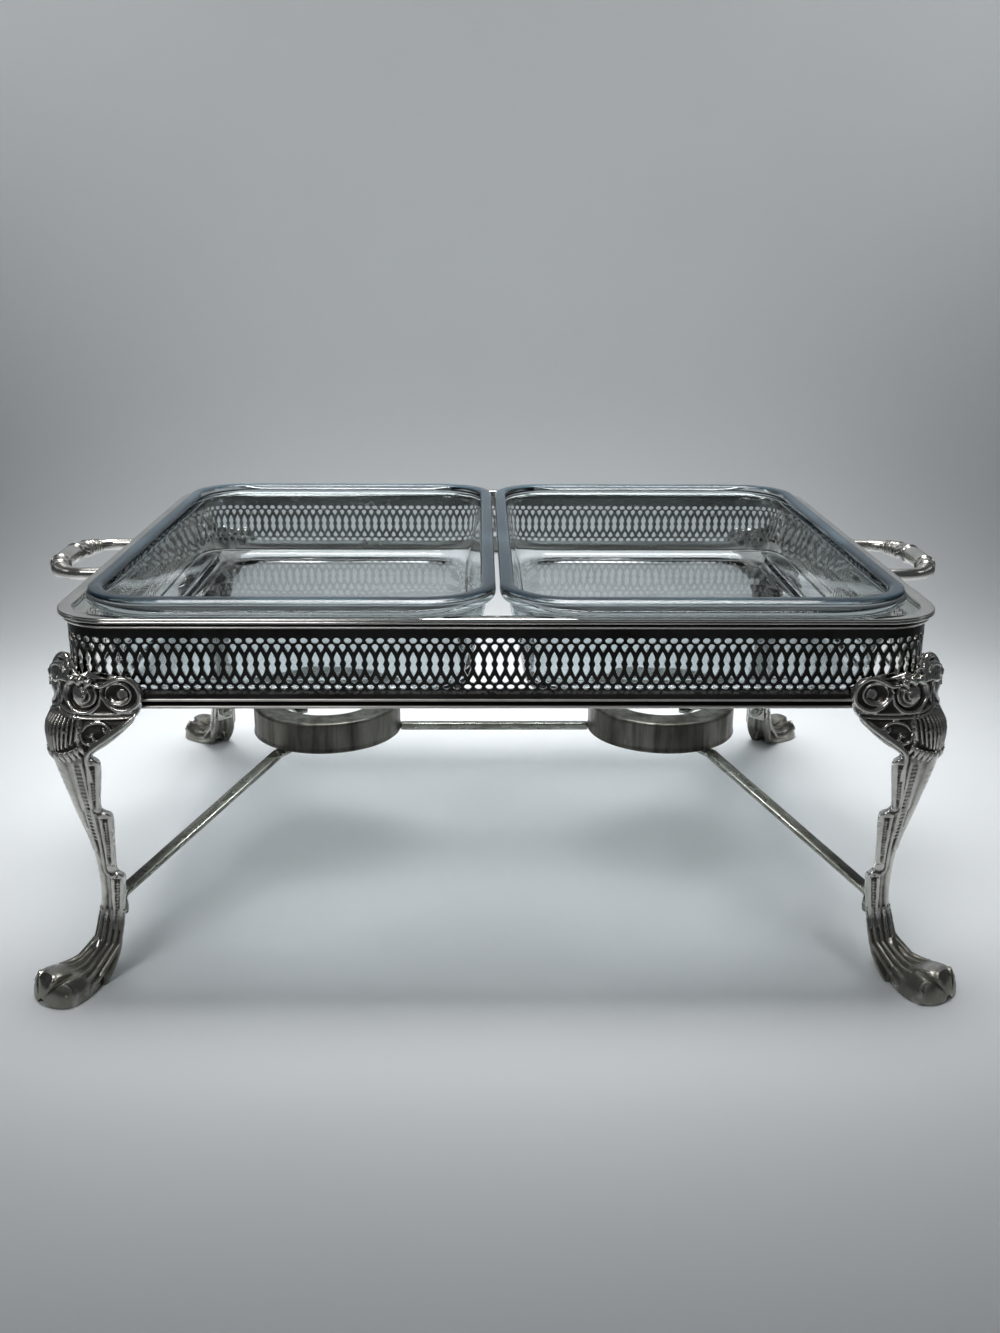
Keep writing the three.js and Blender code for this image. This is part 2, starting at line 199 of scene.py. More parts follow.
pick("EDGE", lambda corners: all(co.y > 0 for co in corners))
bpy.ops.mesh.extrude_region_move(TRANSFORM_OT_translate={"value": (0, SHEET_LEAN, SHEET_HIGH)})
bpy.ops.object.mode_set(mode="OBJECT")
modify(floor, "BEVEL", width=SWEEP_R, segments=24, limit_method="ANGLE")
bpy.ops.object.shade_smooth()
floor.data.materials.append(paper.material)

# Studio light.
# A soft panel hangs over the table, and one on each side lights the sheet behind. A weak one stands
# high behind the camera, and the rest of the room is nearly dark.
def panel(name, at, aim, size, watts, spread):
    """Soft light of (width, height) metres at one point that faces another, with its spread in degrees."""
    light = bpy.data.lights.new(name, "AREA")
    light.shape = "RECTANGLE"
    light.size, light.size_y = size
    light.energy, light.spread = watts, math.radians(spread)
    lamp = put(name, light)
    lamp.location = at
    lamp.rotation_euler = (Vector(aim) - Vector(at)).to_track_quat("-Z", "Y").to_euler()


panel("light_over", (0, 0.15, 0.95), (0, 0.13, 0), (0.7, 0.45), 1.75, 52)
panel("light_left", (-0.95, 0.15, 0.66), (0, 0.62, 0.8), (0.7, 0.6), 1.6, 100)
panel("light_right", (0.95, 0.15, 0.66), (0, 0.62, 0.8), (0.7, 0.6), 1.52, 100)
panel("light_front", (-0.45, -1.0, 1.15), (0, 0, 0.12), (0.5, 0.35), 0.55, 60)
room = bpy.data.worlds.new("room")
room.use_nodes = True
room_glow = room.node_tree.nodes["Background"].inputs
room_glow["Color"].default_value = (0.62, 0.66, 0.7, 1)
room_glow["Strength"].default_value = 0.085
bpy.context.scene.world = room

# Gallery band.
# One strip of silver-plated metal, punched with five rows of openings and bent round the four corners.
# It is punched flat, one pitch at a time, and then laid along the gallery's outline.
X_BAND, Y_BAND = 186.6, 143.6
CORNER_R, STRIP_THICK = 23.6, 1.5
STRIP_LOW, STRIP_HIGH = 132.5, 168.0
COLUMNS = 278
LENGTH_ROUND = 4 * (X_BAND + Y_BAND - 2 * CORNER_R) + 2 * math.pi * (CORNER_R - STRIP_THICK / 2)
PITCH = LENGTH_ROUND / COLUMNS
NEAR = 0.01  # points nearer than this are one point
# Each opening's place along the pitch, its height, its half width and half height, and how much it is
# pointed up or down (tip) or drawn in at the middle (waist).
HOLES = {
    "high_round": dict(at=0, z=160.4, w=1.58, h=1.25),
    "high_drop": dict(at=0.5, z=157.5, w=1.42, h=1.45, tip=-0.55),
    "long": dict(at=0, z=150.0, w=1.78, h=5.6, waist=0.57),
    "low_drop": dict(at=0.5, z=142.8, w=1.36, h=1.4, tip=0.55),
    "low_round": dict(at=0, z=139.8, w=1.55, h=1.15),
}


def outline_path(name, inset=0.0):
    """Closed curve round the gallery, inset millimetres inside the band's outer face."""
    data = bpy.data.curves.new(name, "CURVE")
    data.dimensions, data.resolution_u = "2D", 24
    hx, hy, r = X_BAND - inset, Y_BAND - inset, CORNER_R - inset
    bent, straight = 0.5523 * r, 40  # lengths of the handles; this share of the radius makes a round corner
    spline = data.splines.new("BEZIER")
    spline.use_cyclic_u = True
    spline.bezier_points.add(8)
    knots = [((0, -hy), (-straight, 0), (straight, 0))]
    for sx, sy, first in ((1, -1, "x"), (1, 1, "y"), (-1, 1, "x"), (-1, -1, "y")):
        on_x = ((sx * (hx - r), sy * hy), (-sx * straight, 0), (sx * bent, 0))
        on_y = ((sx * hx, sy * (hy - r)), (0, sy * bent), (0, -sy * straight))
        back_to_front = [(at, on, back) for at, back, on in (on_y, on_x)]
        knots += [on_x, on_y] if first == "x" else back_to_front
    for knot, (at, back, on) in zip(spline.bezier_points, knots):
        knot.co = Vector((*at, 0)) * MM
        knot.handle_left_type = knot.handle_right_type = "FREE"
        knot.handle_left = knot.co + Vector((*back, 0)) * MM
        knot.handle_right = knot.co + Vector((*on, 0)) * MM
    return put(name, data)


def punch(hole, side):
    """Prism that stands across the strip, with the outline of one kind of opening."""
    bpy.ops.mesh.primitive_cylinder_add(vertices=20, radius=1, depth=4 * STRIP_THICK * MM)
    prism = bpy.context.object
    for vertex in prism.data.vertices:
        x, z = vertex.co.x, vertex.co.y
        if "waist" in hole:
            # The two long sides bulge to points at the ends, and are drawn in near the middle.
            x = math.copysign(1 - abs(z) ** 1.7, x) if abs(x) > 1e-4 else 0
            x *= (1 - hole["waist"] * math.exp(-((z / 0.22) ** 2))) * 1.14
        if hole.get("tip", 0) * z > 0:
            x *= 1 - 0.5 * abs(z)
            z += hole["tip"] * z * z
        vertex.co = Vector((x * hole["w"] * MM, -vertex.co.z, z * hole["h"] * MM))
    prism.data.transform(Matrix.Translation(Vector((side * hole["at"] * PITCH, 0, hole["z"])) * MM))
    return prism


def carve(piece, tool, operation="DIFFERENCE"):
    """Takes the tool's space out of the piece, or joins the tool to it with the operation UNION."""
    modify(piece, "BOOLEAN", object=tool, operation=operation, solver="EXACT")
    bpy.data.objects.remove(tool)


def mend(merge=0.0, fill=False):
    """Merges the active mesh's points nearer than merge, fills its holes if asked, and turns it outwards."""
    bpy.ops.object.mode_set(mode="EDIT")
    bpy.ops.mesh.select_all(action="SELECT")
    if merge:
        bpy.ops.mesh.remove_doubles(threshold=merge * MM)
    if fill:
        bpy.ops.mesh.fill_holes(sides=0)
        bpy.ops.mesh.select_all(action="SELECT")
    bpy.ops.mesh.normals_make_consistent(inside=False)
    bpy.ops.object.mode_set(mode="OBJECT")


bpy.ops.mesh.primitive_cube_add(size=1)
band = bpy.context.object
band.name = "gallery_band"
for vertex in band.data.vertices:
    x, y, z = vertex.co
    vertex.co = Vector((x * PITCH, y * STRIP_THICK, STRIP_LOW + (z + 0.5) * (STRIP_HIGH - STRIP_LOW))) * MM
for hole in HOLES.values():
    for side in (-1, 1) if hole["at"] else (1,):
        carve(band, punch(hole, side))
faced = band.data.attributes.new("outer_face", "FLOAT", "POINT")
faced.data.foreach_set("value", [float(vertex.co.y > 0) for vertex in band.data.vertices])
cell_end = (PITCH / 2 - NEAR) * MM
pick("FACE", lambda corners: min(abs(co.x) for co in corners) > cell_end and corners[0].x * corners[1].x > 0)
bpy.ops.mesh.delete(type="FACE")
bpy.ops.object.mode_set(mode="OBJECT")
joined_ends = dict(use_merge_vertices=True, use_merge_vertices_cap=True, merge_threshold=2 * NEAR * MM)
modify(band, "ARRAY", count=COLUMNS, **joined_ends)
band_path = outline_path("band_path", STRIP_THICK / 2)
modify(band, "CURVE", object=band_path, deform_axis="POS_X")
bpy.data.objects.remove(band_path)
mend(3 * NEAR)
bpy.ops.object.shade_smooth_by_angle(angle=math.radians(32))

plate_bright, plate_dull = (0.80, 0.78, 0.74), (0.42, 0.40, 0.37)


def pierced_plate():
    """The strip's plate: grey inside, painted nearly black outside as a painted reflection of the dark room,
    with a lighter broken stripe along its foot.
    """
    finish = Finish("pierced_plate", Metallic=1.0)
    cloud = finish.noise(0.03, 5, roughness=0.62).between(0.35, 0.75)
    outside = finish.node("Attribute", {"attribute_name": "outer_face"}, output="Fac")
    inner = finish.mix(cloud * 0.7, plate_bright, plate_dull)
    # The outer face is painted nearly black: a painted reflection of the dark room in front, which gives
    # painted shade over the whole outside.
    outer = finish.mix(cloud, (0.085, 0.082, 0.076), (0.042, 0.04, 0.036))
    # A lighter stripe along the band's foot, broken up by fine noise.
    foot_stripe = finish.height().stripe(0.1363, 0.1372, 0.1378, 0.1386)
    outer = finish.mix(foot_stripe * finish.noise(0.0016, 3).between(0.3, 0.7), outer, plate_dull)
    finish.lead("Base Color", finish.mix(outside.between(0.55, 1.0), inner, outer))
    finish.lead("Roughness", 0.13 + 0.12 * cloud + 0.08 * finish.noise(0.01, 4))
    finish.bump(finish.noise(0.0011, 2, (1, 1, 0.25)), 0.00001, 0.3)
    return finish.material


CORNERS = [("front_left", -1, -1), ("front_right", 1, -1), ("rear_left", -1, 1), ("rear_right", 1, 1)]
band.data.materials.append(pierced_plate())
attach(band, "stand")
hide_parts("band_front", "band_rear", "band_left", "band_right")
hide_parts(*("band_corner_" + tag for tag, _, _ in CORNERS))

# Rolled lip and foot moulding.
# Two drawn mouldings, bent round the strip's upper and lower edge and soldered on. The lip turns
# outwards over a round bead, and the dishes rest on its flat top.
# Each section is given as pairs: how far it stands out from the strip's outer face, and the height.
LIP = [
    (-2.6, 168.1), (-2.6, 170.4), (-2.4, 170.8), (-2.0, 170.95), (2.6, 170.98), (3.1, 170.85), (3.45, 170.5),
    (3.5, 170.15), (3.35, 169.9), (3.0, 169.75), (3.35, 169.6), (3.55, 169.3), (3.55, 168.95), (3.3, 168.6),
    (2.8, 168.45), (1.0, 168.4), (0.5, 168.3), (0.4, 167.5), (0.9, 167.45), (1.4, 167.25), (1.7, 166.7),
    (1.4, 166.1), (0.9, 165.85), (0.3, 165.85), (0.3, 167.0), (-0.2, 168.1),
]
FOOT = [
    (-2.4, 132.4), (-2.4, 131), (-2.0, 130.6), (1.0, 130.5), (1.5, 130.7), (1.75, 131.1), (1.75, 131.5),
    (1.4, 131.8), (0.8, 131.95), (0.6, 132.6), (0.6, 133.5), (1.0, 133.65), (1.25, 134.05), (1.25, 134.35),
    (1.0, 134.7), (0.3, 134.75), (0.3, 132.4),
]


def run_moulding(name, profile):
    """Draws the section round the gallery."""
    drawn = bpy.data.curves.new(name + "_section", "CURVE")
    drawn.dimensions = "2D"
    spline = drawn.splines.new("POLY")
    spline.use_cyclic_u = True
    spline.points.add(len(profile) - 1)
    for point, (out, height) in zip(spline.points, profile):
        point.co = (-out * MM, height * MM, 0, 1)
    section = put(name + "_section", drawn)
    ring = outline_path(name)
    ring.data.bevel_mode, ring.data.bevel_object = "OBJECT", section
    take(ring)
    bpy.ops.object.convert(target="MESH")
    bpy.data.objects.remove(section)
    mend()
    bpy.ops.object.shade_smooth_by_angle(angle=math.radians(50))
    return bpy.context.object


def moulding_plate():
    """Silver plate of the mouldings: bright on the lip's edge, duller on the beads, with painted shade in the
    grooves.
    """
    finish = Finish("moulding_plate", Metallic=1.0)
    high = finish.height()
    cloud = finish.noise(0.035, 5, roughness=0.62).between(0.35, 0.75)
    low_groove = high.stripe(0.1318, 0.1320, 0.1336, 0.1338)
    high_groove = high.stripe(0.1674, 0.1676, 0.1685, 0.1687)
    seam = high.stripe(0.1696, 0.16972, 0.16978, 0.1699)
    colour = finish.mix(cloud * 0.45, plate_bright, plate_dull)
    # Painted shade: the foot's groove, the undercut under the lip's roll and the seam between its two wires
    # are painted near black.
    black = low_groove + high_groove + seam * 0.8
    finish.lead("Base Color", finish.mix(black, colour, (0.012, 0.011, 0.01)))
    finish.lead("Roughness", 0.36 - 0.24 * high.between(0.168, 0.169) + 0.1 * cloud)
    finish.bump(finish.noise(0.0011, 2, (1, 1, 0.25)), 0.00001, 0.3)
    return finish.material


bright_plate = moulding_plate()
for name, profile, node in (("rolled_lip", LIP, "top_rim"), ("foot_moulding", FOOT, "lower_moulding")):
    moulding = run_moulding(name, profile)
    moulding.data.materials.append(bright_plate)
    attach(moulding, "stand")
    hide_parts(node)

# Cast legs.
# Each leg is one hollow-backed casting that wraps a lower corner of the gallery: an eye-shaped loop and
# a volute on each face, a gadrooned knee over a bracket panel, a shank with rolled lobes, and a paw.
# It is built for the right rear corner as overlapping forms, fused into one skin, then mirrored.
CORNER_X, CORNER_Y = X_BAND - CORNER_R, Y_BAND - CORNER_R
# Three measures by height, from the middle of the gallery's round corner: how far out the leg's two flat
# faces lie, the radius of the ridge between them, and how near the middle each face ends.
FACE_OUT = [
    (0, 27.5), (6, 25.6), (14, 22.6), (25, 19.4), (35, 17.9), (46, 17.9), (53, 18.4), (66, 20.2),
    (83, 24.6), (108, 30.2), (116, 31.4), (124, 31.2), (129, 29.4), (134, 28.2), (144, 28.0),
    (149, 26.8), (153, 24.9),
]
RIDGE_R = [
    (0, 9), (14, 7.2), (25, 6), (46, 5.5), (66, 7), (83, 8.5), (108, 11), (116, 12), (124, 12.3),
    (130, 15), (134, 17), (153, 16.5),
]
ARM_END = [
    (0, 17), (6, 13), (14, 9.5), (25, 7.4), (35, 6), (44.5, 5.0), (48, 5.4), (50, 8.0), (53, 8.4),
    (66, 7.5), (77, 6.2), (80.4, 6.7), (82.4, 10.2), (86, 10.5), (104, 7.6), (108, 7.9), (110.2, 10.2),
    (112, 9.6), (116, 3.2), (122, -4), (127, -8.6), (130, -10.6), (134, -12.2), (140, -10.8),
    (143.6, -6.5), (144.8, 2), (145.6, 9), (146.6, 13.6), (149, 15.8), (152.6, 18.4),
]
LEG_HIGH, SKIN_THICK = 152.6, 2.6
PAW_LEAN, LEAN_HIGH = (-2.8, 4.2), 26  # the paw turns from the corner's diagonal towards y


def along(table, z):
    """Value at height z, on a smooth curve through the table's (height, value) pairs."""
    z = min(max(z, table[0][0]), table[-1][0])
    i = max(k for k in range(len(table) - 1) if table[k][0] <= z)
    (z0, a), (z1, b) = table[i], table[i + 1]
    before = table[max(i - 1, 0)]
    after = table[min(i + 2, len(table) - 1)]
    slope_a = (b - before[1]) / (z1 - before[0])
    slope_b = (after[1] - a) / (after[0] - z0)
    t, step = (z - z0) / (z1 - z0), z1 - z0
    return (
        a * (1 + 2 * t) * (1 - t) ** 2 + step * slope_a * t * (1 - t) ** 2
        + b * t * t * (3 - 2 * t) + step * slope_b * t * t * (t - 1)
    )


def flat_start(z):
    """Distance round the corner from the leg's ridge to where its flat face starts."""
    return along(RIDGE_R, z) * math.pi / 4


def leg_point(s, z, rise=0.0):
    """Point s round from the ridge, on the long side's face if s is positive, and rise above the skin."""
    face, ridge, start = along(FACE_OUT, z), along(RIDGE_R, z), flat_start(z)
    turn = math.pi / 4 + min(abs(s), start) / ridge
    u = face - ridge + (ridge + rise) * math.cos(turn) - max(abs(s) - start, 0)
    v = face - ridge + (ridge + rise) * math.sin(turn)
    lean = max(1 - z / LEAN_HIGH, 0)
    u, v = (u, v) if s > 0 else (v, u)
    return Vector((u + lean * PAW_LEAN[0], v + lean * PAW_LEAN[1], z))


def s_at(u, z):
    """Distance round from the ridge of the point at u, which counts along the face outwards."""
    face, ridge = along(FACE_OUT, z), along(RIDGE_R, z)
    if u < face - ridge:
        return flat_start(z) + face - ridge - u
    return (math.acos(min((u - face + ridge) / ridge, 1)) - math.pi / 4) * ridge


def dip(distance, soft):
    """1 inside a shape, 0 outside, where distance is below 0 inside; soft is the width of its edge."""
    return min(max(0.5 - distance / soft, 0), 1)


VOLUTE_U, VOLUTE_Z, VOLUTE_R = 12.0, 137.4, 6.6
LOOP_LOW, KNEE_HIGH, KNEE_LOW = 129.5, 128.5, 110  # heights at which the kinds of relief change


def knee_edge(z):
    """Distance round from the ridge at which the gadroons of the knee end."""
    return s_at(along([(108, 18), (113, 17), (119, 15.2), (128, 13.6)], z), z)


def skin_rise(s, z):
    """Low relief of the skin: sunk eyes and raised volutes, a sunk knee and panel, a channelled shank."""
    s = abs(s)
    rise = 0.0
    u_flat = along(FACE_OUT, z) - along(RIDGE_R, z) + flat_start(z) - s
    if z > LOOP_LOW:
        eye = math.hypot((u_flat + 3.6) / 7.4, (z - 138.1) / 6.6) - 1
        bowl = math.hypot((u_flat + 2.6) / 5.0, (z - 138.0) / 4.5) - 1
        notch = math.hypot((u_flat - 4.4) / 3.4, (z - 144.6) / 2.8) - 1
        volute = math.hypot((s - s_at(VOLUTE_U, z)) / VOLUTE_R, (z - VOLUTE_Z) / VOLUTE_R)
        rise -= 1.1 * dip(eye * 7, 1.6) + 1.1 * dip(bowl * 4, 1.4) + 2.2 * dip(notch * 3, 1.2)
        rise -= 1.4 * dip((volute - 1.08) * VOLUTE_R, 1.0)
        rise += 3.6 * max(1 - volute * volute, 0)
    if KNEE_LOW < z < KNEE_HIGH:
        window = min((z - KNEE_LOW) / 4, (KNEE_HIGH - z) / 1.5, 1)
        past_knee = s - knee_edge(z)
        rise -= window * (0.8 if past_knee < 0 else 1.1 * min(past_knee / 1.2, 1))
    if z < KNEE_LOW:
        edge = u_flat - along(ARM_END, z)
        channel = math.exp(-(((edge - 4.6) / 0.7) ** 2))
        crease = math.exp(-(((s / (s + edge) - 0.26) / 0.1) ** 2))
        fade = min((KNEE_LOW - z) / 4, 1) * min(z / 24, 1)
        rise -= fade * (0.7 * channel + 0.5 * crease)
    return rise


def draped(name, across, along_it, place):
    """Grid laid over a shape: place(a, b) gives the point in millimetres, with a and b from 0 to 1."""
    bpy.ops.mesh.primitive_grid_add(x_subdivisions=across, y_subdivisions=along_it, size=1)
    laid = bpy.context.object
    laid.name = laid.data.name = name
    for vertex in laid.data.vertices:
        vertex.co = Vector(place(vertex.co.x + 0.5, vertex.co.y + 0.5)) * MM
    return laid


def leg_shell():
    """The bent outer skin of the leg, thickened inwards."""
    def skin(a, b):
        z = LEG_HIGH * b
        s = (2 * a - 1) * s_at(along(ARM_END, z), z)
        return leg_point(s, z, skin_rise(s, z))

    shell = draped("leg_shell", 120, 200, skin)
    modify(shell, "SOLIDIFY", thickness=SKIN_THICK * MM, offset=-1)
    return shell


def rods(name, lines):
    """Round rods, one for each line of (point, radius) pairs in millimetres."""
    data = bpy.data.curves.new(name, "CURVE")
    data.dimensions, data.bevel_depth, data.bevel_resolution = "3D", MM, 3
    data.use_fill_caps = True
    for line in lines:
        spline = data.splines.new("POLY")
        spline.points.add(len(line) - 1)
        for knot, (at, radius) in zip(spline.points, line):
            knot.co = (*(Vector(at) * MM), 1)
            knot.radius = radius
    take(put(name, data))
    bpy.ops.object.convert(target="MESH")
    return bpy.context.object


def on_face(path, side):
    """Turns (u, z, radius, rise) into rod points, on the long side's face (side 1) or the other (side -1)."""
    return [(leg_point(side * s_at(u, z), z, rise), radius) for u, z, radius, rise in path]


def bow(points, radius, rise):
    """Smooth line through (u, z) points with one thickness, tapered at its ends."""
    steps, path = 14, []
    for k in range(len(points) - 1):
        p0, p1 = points[max(k - 1, 0)], points[k]
        p2, p3 = points[k + 1], points[min(k + 2, len(points) - 1)]
        for t in (i / steps for i in range(steps)):
            path.append([
                0.5 * (
                    2 * b + (c - a) * t + (2 * a - 5 * b + 4 * c - d) * t * t
                    + (3 * b - a - 3 * c + d) * t**3
                )
                for a, b, c, d in zip(p0, p1, p2, p3)
            ])
    path.append(points[-1])
    full, last = len(path), len(path) - 1
    taper = [min(1, 0.35 + 3 * min(i, last - i) / full) for i in range(full)]
    return [(u, z, radius * thin, rise) for (u, z), thin in zip(path, taper)]


# Raised lines of one face, as (u, z) points, thickness and rise. On the upper face: the eye-shaped loop,
# the volute's rim, the sunk bowl in the eye with its lid, three turns of the volute, and the outer scroll.
FACE_SCROLLS = [
    ([(13.4, 144.0), (9.4, 143.0), (4.6, 141.6), (0, 143.8), (-5.0, 145.1), (-9.4, 143), (-11.5, 138.6),
      (-10.6, 134.2), (-7.2, 131.6), (-3.0, 131.0), (1.0, 132.8), (3.6, 136), (5.0, 139.4)], 1.0, 0.45),
    ([(18.6, 143.2), (20.0, 140.4), (20.0, 136.8), (18.4, 133.4), (15.4, 131.0), (12, 130.2),
      (8.6, 131.1), (5.9, 134.0), (5.0, 138.0)], 0.85, 0.4),
    ([(-2.6 + 5.3 * math.cos(k / 10 * math.pi), 138.0 + 4.8 * math.sin(k / 10 * math.pi)) for k in range(21)],
     0.62, -0.25),
    ([(-6.6, 136.2), (-4.2, 134.4), (-1.2, 134.3), (1.0, 136.0)], 0.95, -1.3),
    ([(7.4, 141.8), (6.6, 138.0), (8.0, 134.6), (11.0, 133.2), (14.0, 133.8)], 0.6, 0.9),
    ([(9.6, 141.4), (8.6, 138.4), (9.6, 135.9), (12.0, 135.3)], 0.55, 2.2),
    ([(12.0, 140.8), (10.6, 139.4), (10.8, 137.6), (12.2, 137.2)], 0.5, 3.1),
    ([(21.2, 144.0), (22.8, 140.8), (22.0, 136.6), (23.0, 132.8), (25.6, 130.6)], 0.6, 0.3),
]
# On the bracket panel: its thick lower border, a thin line beside it, and two scrolls.
PANEL_SCROLLS = [
    ([(-9.6, 129.4), (-4.6, 124.9), (2.0, 120), (8.0, 115.8), (11.9, 111.8), (12.6, 106), (12.2, 98)],
     1.15, 0.15),
    ([(-5.4, 127.2), (1.6, 121.9), (8.4, 117.0), (11.8, 113.8)], 0.55, 0.0),
    ([(13.2, 122.2), (11, 125), (6.6, 126.2), (3.2, 125.4), (1.6, 123.4), (3.4, 122.2), (4.6, 123.2)],
     0.72, -0.3),
    ([(13.6, 121.2), (13.2, 118), (10.6, 116.7), (8.2, 118.4), (9.2, 120.4), (10.8, 119.6)], 0.72, -0.3),
]
LEAF_BUDS = [(9.2, 143.6, 1.5), (12.3, 144.9, 1.9), (15.8, 144.9, 2.0)]  # place on the face and thickness
LOBES = [(109.0, 84, 8.3, 11.4), (81.2, 53.5, 7.1, 9.2), (48.8, 22, 5.9, 8.4)]  # top, low end, u at each


def lobe(top, low, u_top, u_low):
    """One long lobe: a rim bent over at its top, a roll beside it, and a rope down the channel between."""
    start = top - 2.1
    steps, turns = 14, 10
    rim, left, right = [], [], []
    for k in range(turns + 1):
        t = math.pi * (1 - k / turns)
        rim.append((u_top + 2.3 + 2.1 * math.cos(t), start + 2.0 * math.sin(t), 0.95, 0.15))
    for k in range(steps + 1):
        t = k / steps
        u, z = u_top + (u_low - u_top) * t, start - (start - low) * t
        left.append((u + 0.2, z, 1.1 - 0.35 * t, 0.1))
        right.append((u + 4.4 - 1.4 * t, z, 0.75 - 0.35 * t, 0.05))
    knob = [
        (u_top + 1.3, top - 1.9, 0.75, 0.45), (u_top + 2.3, top - 1.3, 1.0, 0.55),
        (u_top + 3.4, top - 1.9, 0.75, 0.45),
    ]
    lines = [left[::-1] + rim + right, knob]
    strand = 1.5
    for k in range(int((top - low - 8) / strand)):
        z = top - 5.2 - strand * k
        t = (start - z) / (start - low)
        u = u_top + (u_low - u_top) * t + 2.3 - 0.6 * t
        lines.append([(u - 0.5, z + 0.3, 0.5, -0.2), (u + 0.5, z - 0.35, 0.5, -0.2)])
    return lines


def face_lines():
    """Every raised line of one face but the knee's flutes, as (u, z, radius, rise) points."""
    lines = [bow(*scroll) for scroll in FACE_SCROLLS]
    for u, z, big in LEAF_BUDS:
        lines.append([
            (u - 0.9, z + 1.2, big * 0.7, 0.6), (u, z, big, 0.9), (u + 1.1, z - 1.7, big * 0.7, 0.8),
            (u + 2.2, z - 3.0, 0.4, 0.2),
        ])
    for z in (129.9, 128.0):
        border = [(23, z + 2.2), (17, z + 0.5), (8, z - 0.2), (-3, z - 0.1), (-9.4, z + 0.5)]
        lines.append(bow(border, 0.42, 0.3))
    lines += [bow(*scroll) for scroll in PANEL_SCROLLS]
    petals, rungs = 6, 20
    for k in range(petals):
        share = (k + 0.5) / petals
        u, z = 27.4 - 13.4 * share, 110.2 + 4.6 * share * share
        lines.append([(u - 0.4, z + 2.2, 1.05, 0.1), (u - 1.0, z, 1.0, 0.2), (u - 1.9, z - 2.4, 0.35, 0.0)])
    for k in range(rungs):
        z = 105 - 2.0 * k
        mid, half = 17.2 - 0.045 * (106 - z), 1.3 - 0.012 * (106 - z)
        lines.append([(mid + half, z + 0.3, 0.33, -0.12), (mid - half, z, 0.33, -0.12)])
    for edge in (-1, 1):
        rail_at, taper = 17.2 + 1.75 * edge, 0.045 + 0.012 * edge
        lines.append([(rail_at - taper * (106 - z), z, 0.4, 0.0) for z in range(108, 58, -4)])
    for sizes in LOBES:
        lines += lobe(*sizes)
    for z in range(102, 66, -3):
        u = 25.2 - 0.16 * (104 - z)
        lines.append([(u + 0.8, z + 0.5, 0.34, -0.08), (u - 0.8, z - 0.4, 0.34, -0.08)])
    return lines


def leg_ornament():
    """All raised lines of one leg, on both faces: loops, volutes, scrolls, borders, ladders and ropes."""
    flutes, steps = 7, 12
    lines = []
    for side in (-1, 1):
        lines += [on_face(path, side) for path in face_lines()]
        for k in range(flutes):
            share, flute = (k + 0.5) / flutes, []
            for i in range(steps + 1):
                z = 129.2 - (16.5 - 6 * share * share) * i / steps
                thick = 0.42 + 0.18 * math.sin(math.pi * i / steps)
                flute.append((leg_point(side * share * knee_edge(z), z, 0.05), thick))
            lines.append(flute)
    return rods("leg_ornament", lines)


def crest():
    """The leaf that stands at the top of the ridge: a fluted tongue whose tip rolls over, above a bud."""
    lines = []
    for k in range(-3, 4):
        tongue = [(1.9 * k * (1.05 - 0.03 * i), 143.6 + 1.25 * i, 0.3 + 0.1 * i) for i in range(7)]
        lines.append([(leg_point(s + NEAR, z, rise), 1.35) for s, z, rise in tongue])
    roll = [(leg_point(0.9 * k + NEAR, 153.2 - 0.085 * k * k, 1.1), 1.7 - 0.02 * k * k) for k in range(-7, 8)]
    curl = [(leg_point(0.8 * k + NEAR, 150.2 - 0.06 * k * k, 2.0), 0.9) for k in range(-6, 7)]
    bud = [(leg_point(0.9 * k + NEAR, 144.2, 1.2), 1.9 - 0.3 * abs(k)) for k in range(-2, 3)]
    return rods("leg_crest", lines + [roll, curl, bud])


# Height and half width of the paw, by the distance out from the middle of the gallery's round corner.
PAW_BACK, PAW_FRONT = 29, 60.4
PAW_HIGH = [
    (29, 19), (31, 16.8), (33, 14.9), (36, 12.9), (40, 11.9), (44, 12.1), (49, 13.2), (53.5, 13.3),
    (56.5, 11.9), (58.8, 8.8), (59.9, 5.6), (60.4, 2.6),
]
PAW_WIDE = [
    (29, 3.4), (33, 6.2), (36, 8.4), (40, 10.6), (45, 12.6), (50, 13.5), (54, 13), (57.4, 10.4),
    (59.4, 6.6), (60.4, 3),
]
PAW_MIDDLE = 43.5 / math.sqrt(2)
HEADING = math.atan2(PAW_MIDDLE + PAW_LEAN[1], PAW_MIDDLE + PAW_LEAN[0])


def paw_point(turn, out, rise=0.0):
    """Point on the paw's upper skin, out along its middle line and turn (-1 to 1) from edge to edge."""
    angle = turn * math.pi / 2
    wide, high = along(PAW_WIDE, out), along(PAW_HIGH, out)
    c = (wide + rise) * math.copysign(abs(math.sin(angle)) ** 0.9, angle)
    z = (high + rise) * abs(math.cos(angle)) ** 0.75
    at = Vector((math.cos(HEADING), math.sin(HEADING), 0)) * out
    return Vector((at.x - c * math.sin(HEADING), at.y + c * math.cos(HEADING), max(z, 0)))


def paw():
    """The smooth pad of the paw, parted at the front into three toes."""
    def skin(a, b):
        turn, out = 2 * a - 1, PAW_BACK + (PAW_FRONT - PAW_BACK) * b
        parting = min(max((out - 47) / 7, 0), 1)
        groove = sum(math.exp(-(((turn - spot) / 0.055) ** 2)) for spot in (-0.34, 0.34))
        swell = math.cos(math.pi * turn / 0.68) * 0.35
        return paw_point(turn, out, parting * (swell - 1.9 * groove))

    pad = draped("paw", 110, 90, skin)
    bpy.ops.object.mode_set(mode="EDIT")
    bpy.ops.mesh.select_all(action="SELECT")
    bpy.ops.mesh.fill_holes(sides=0)
    bpy.ops.object.mode_set(mode="OBJECT")
    return pad


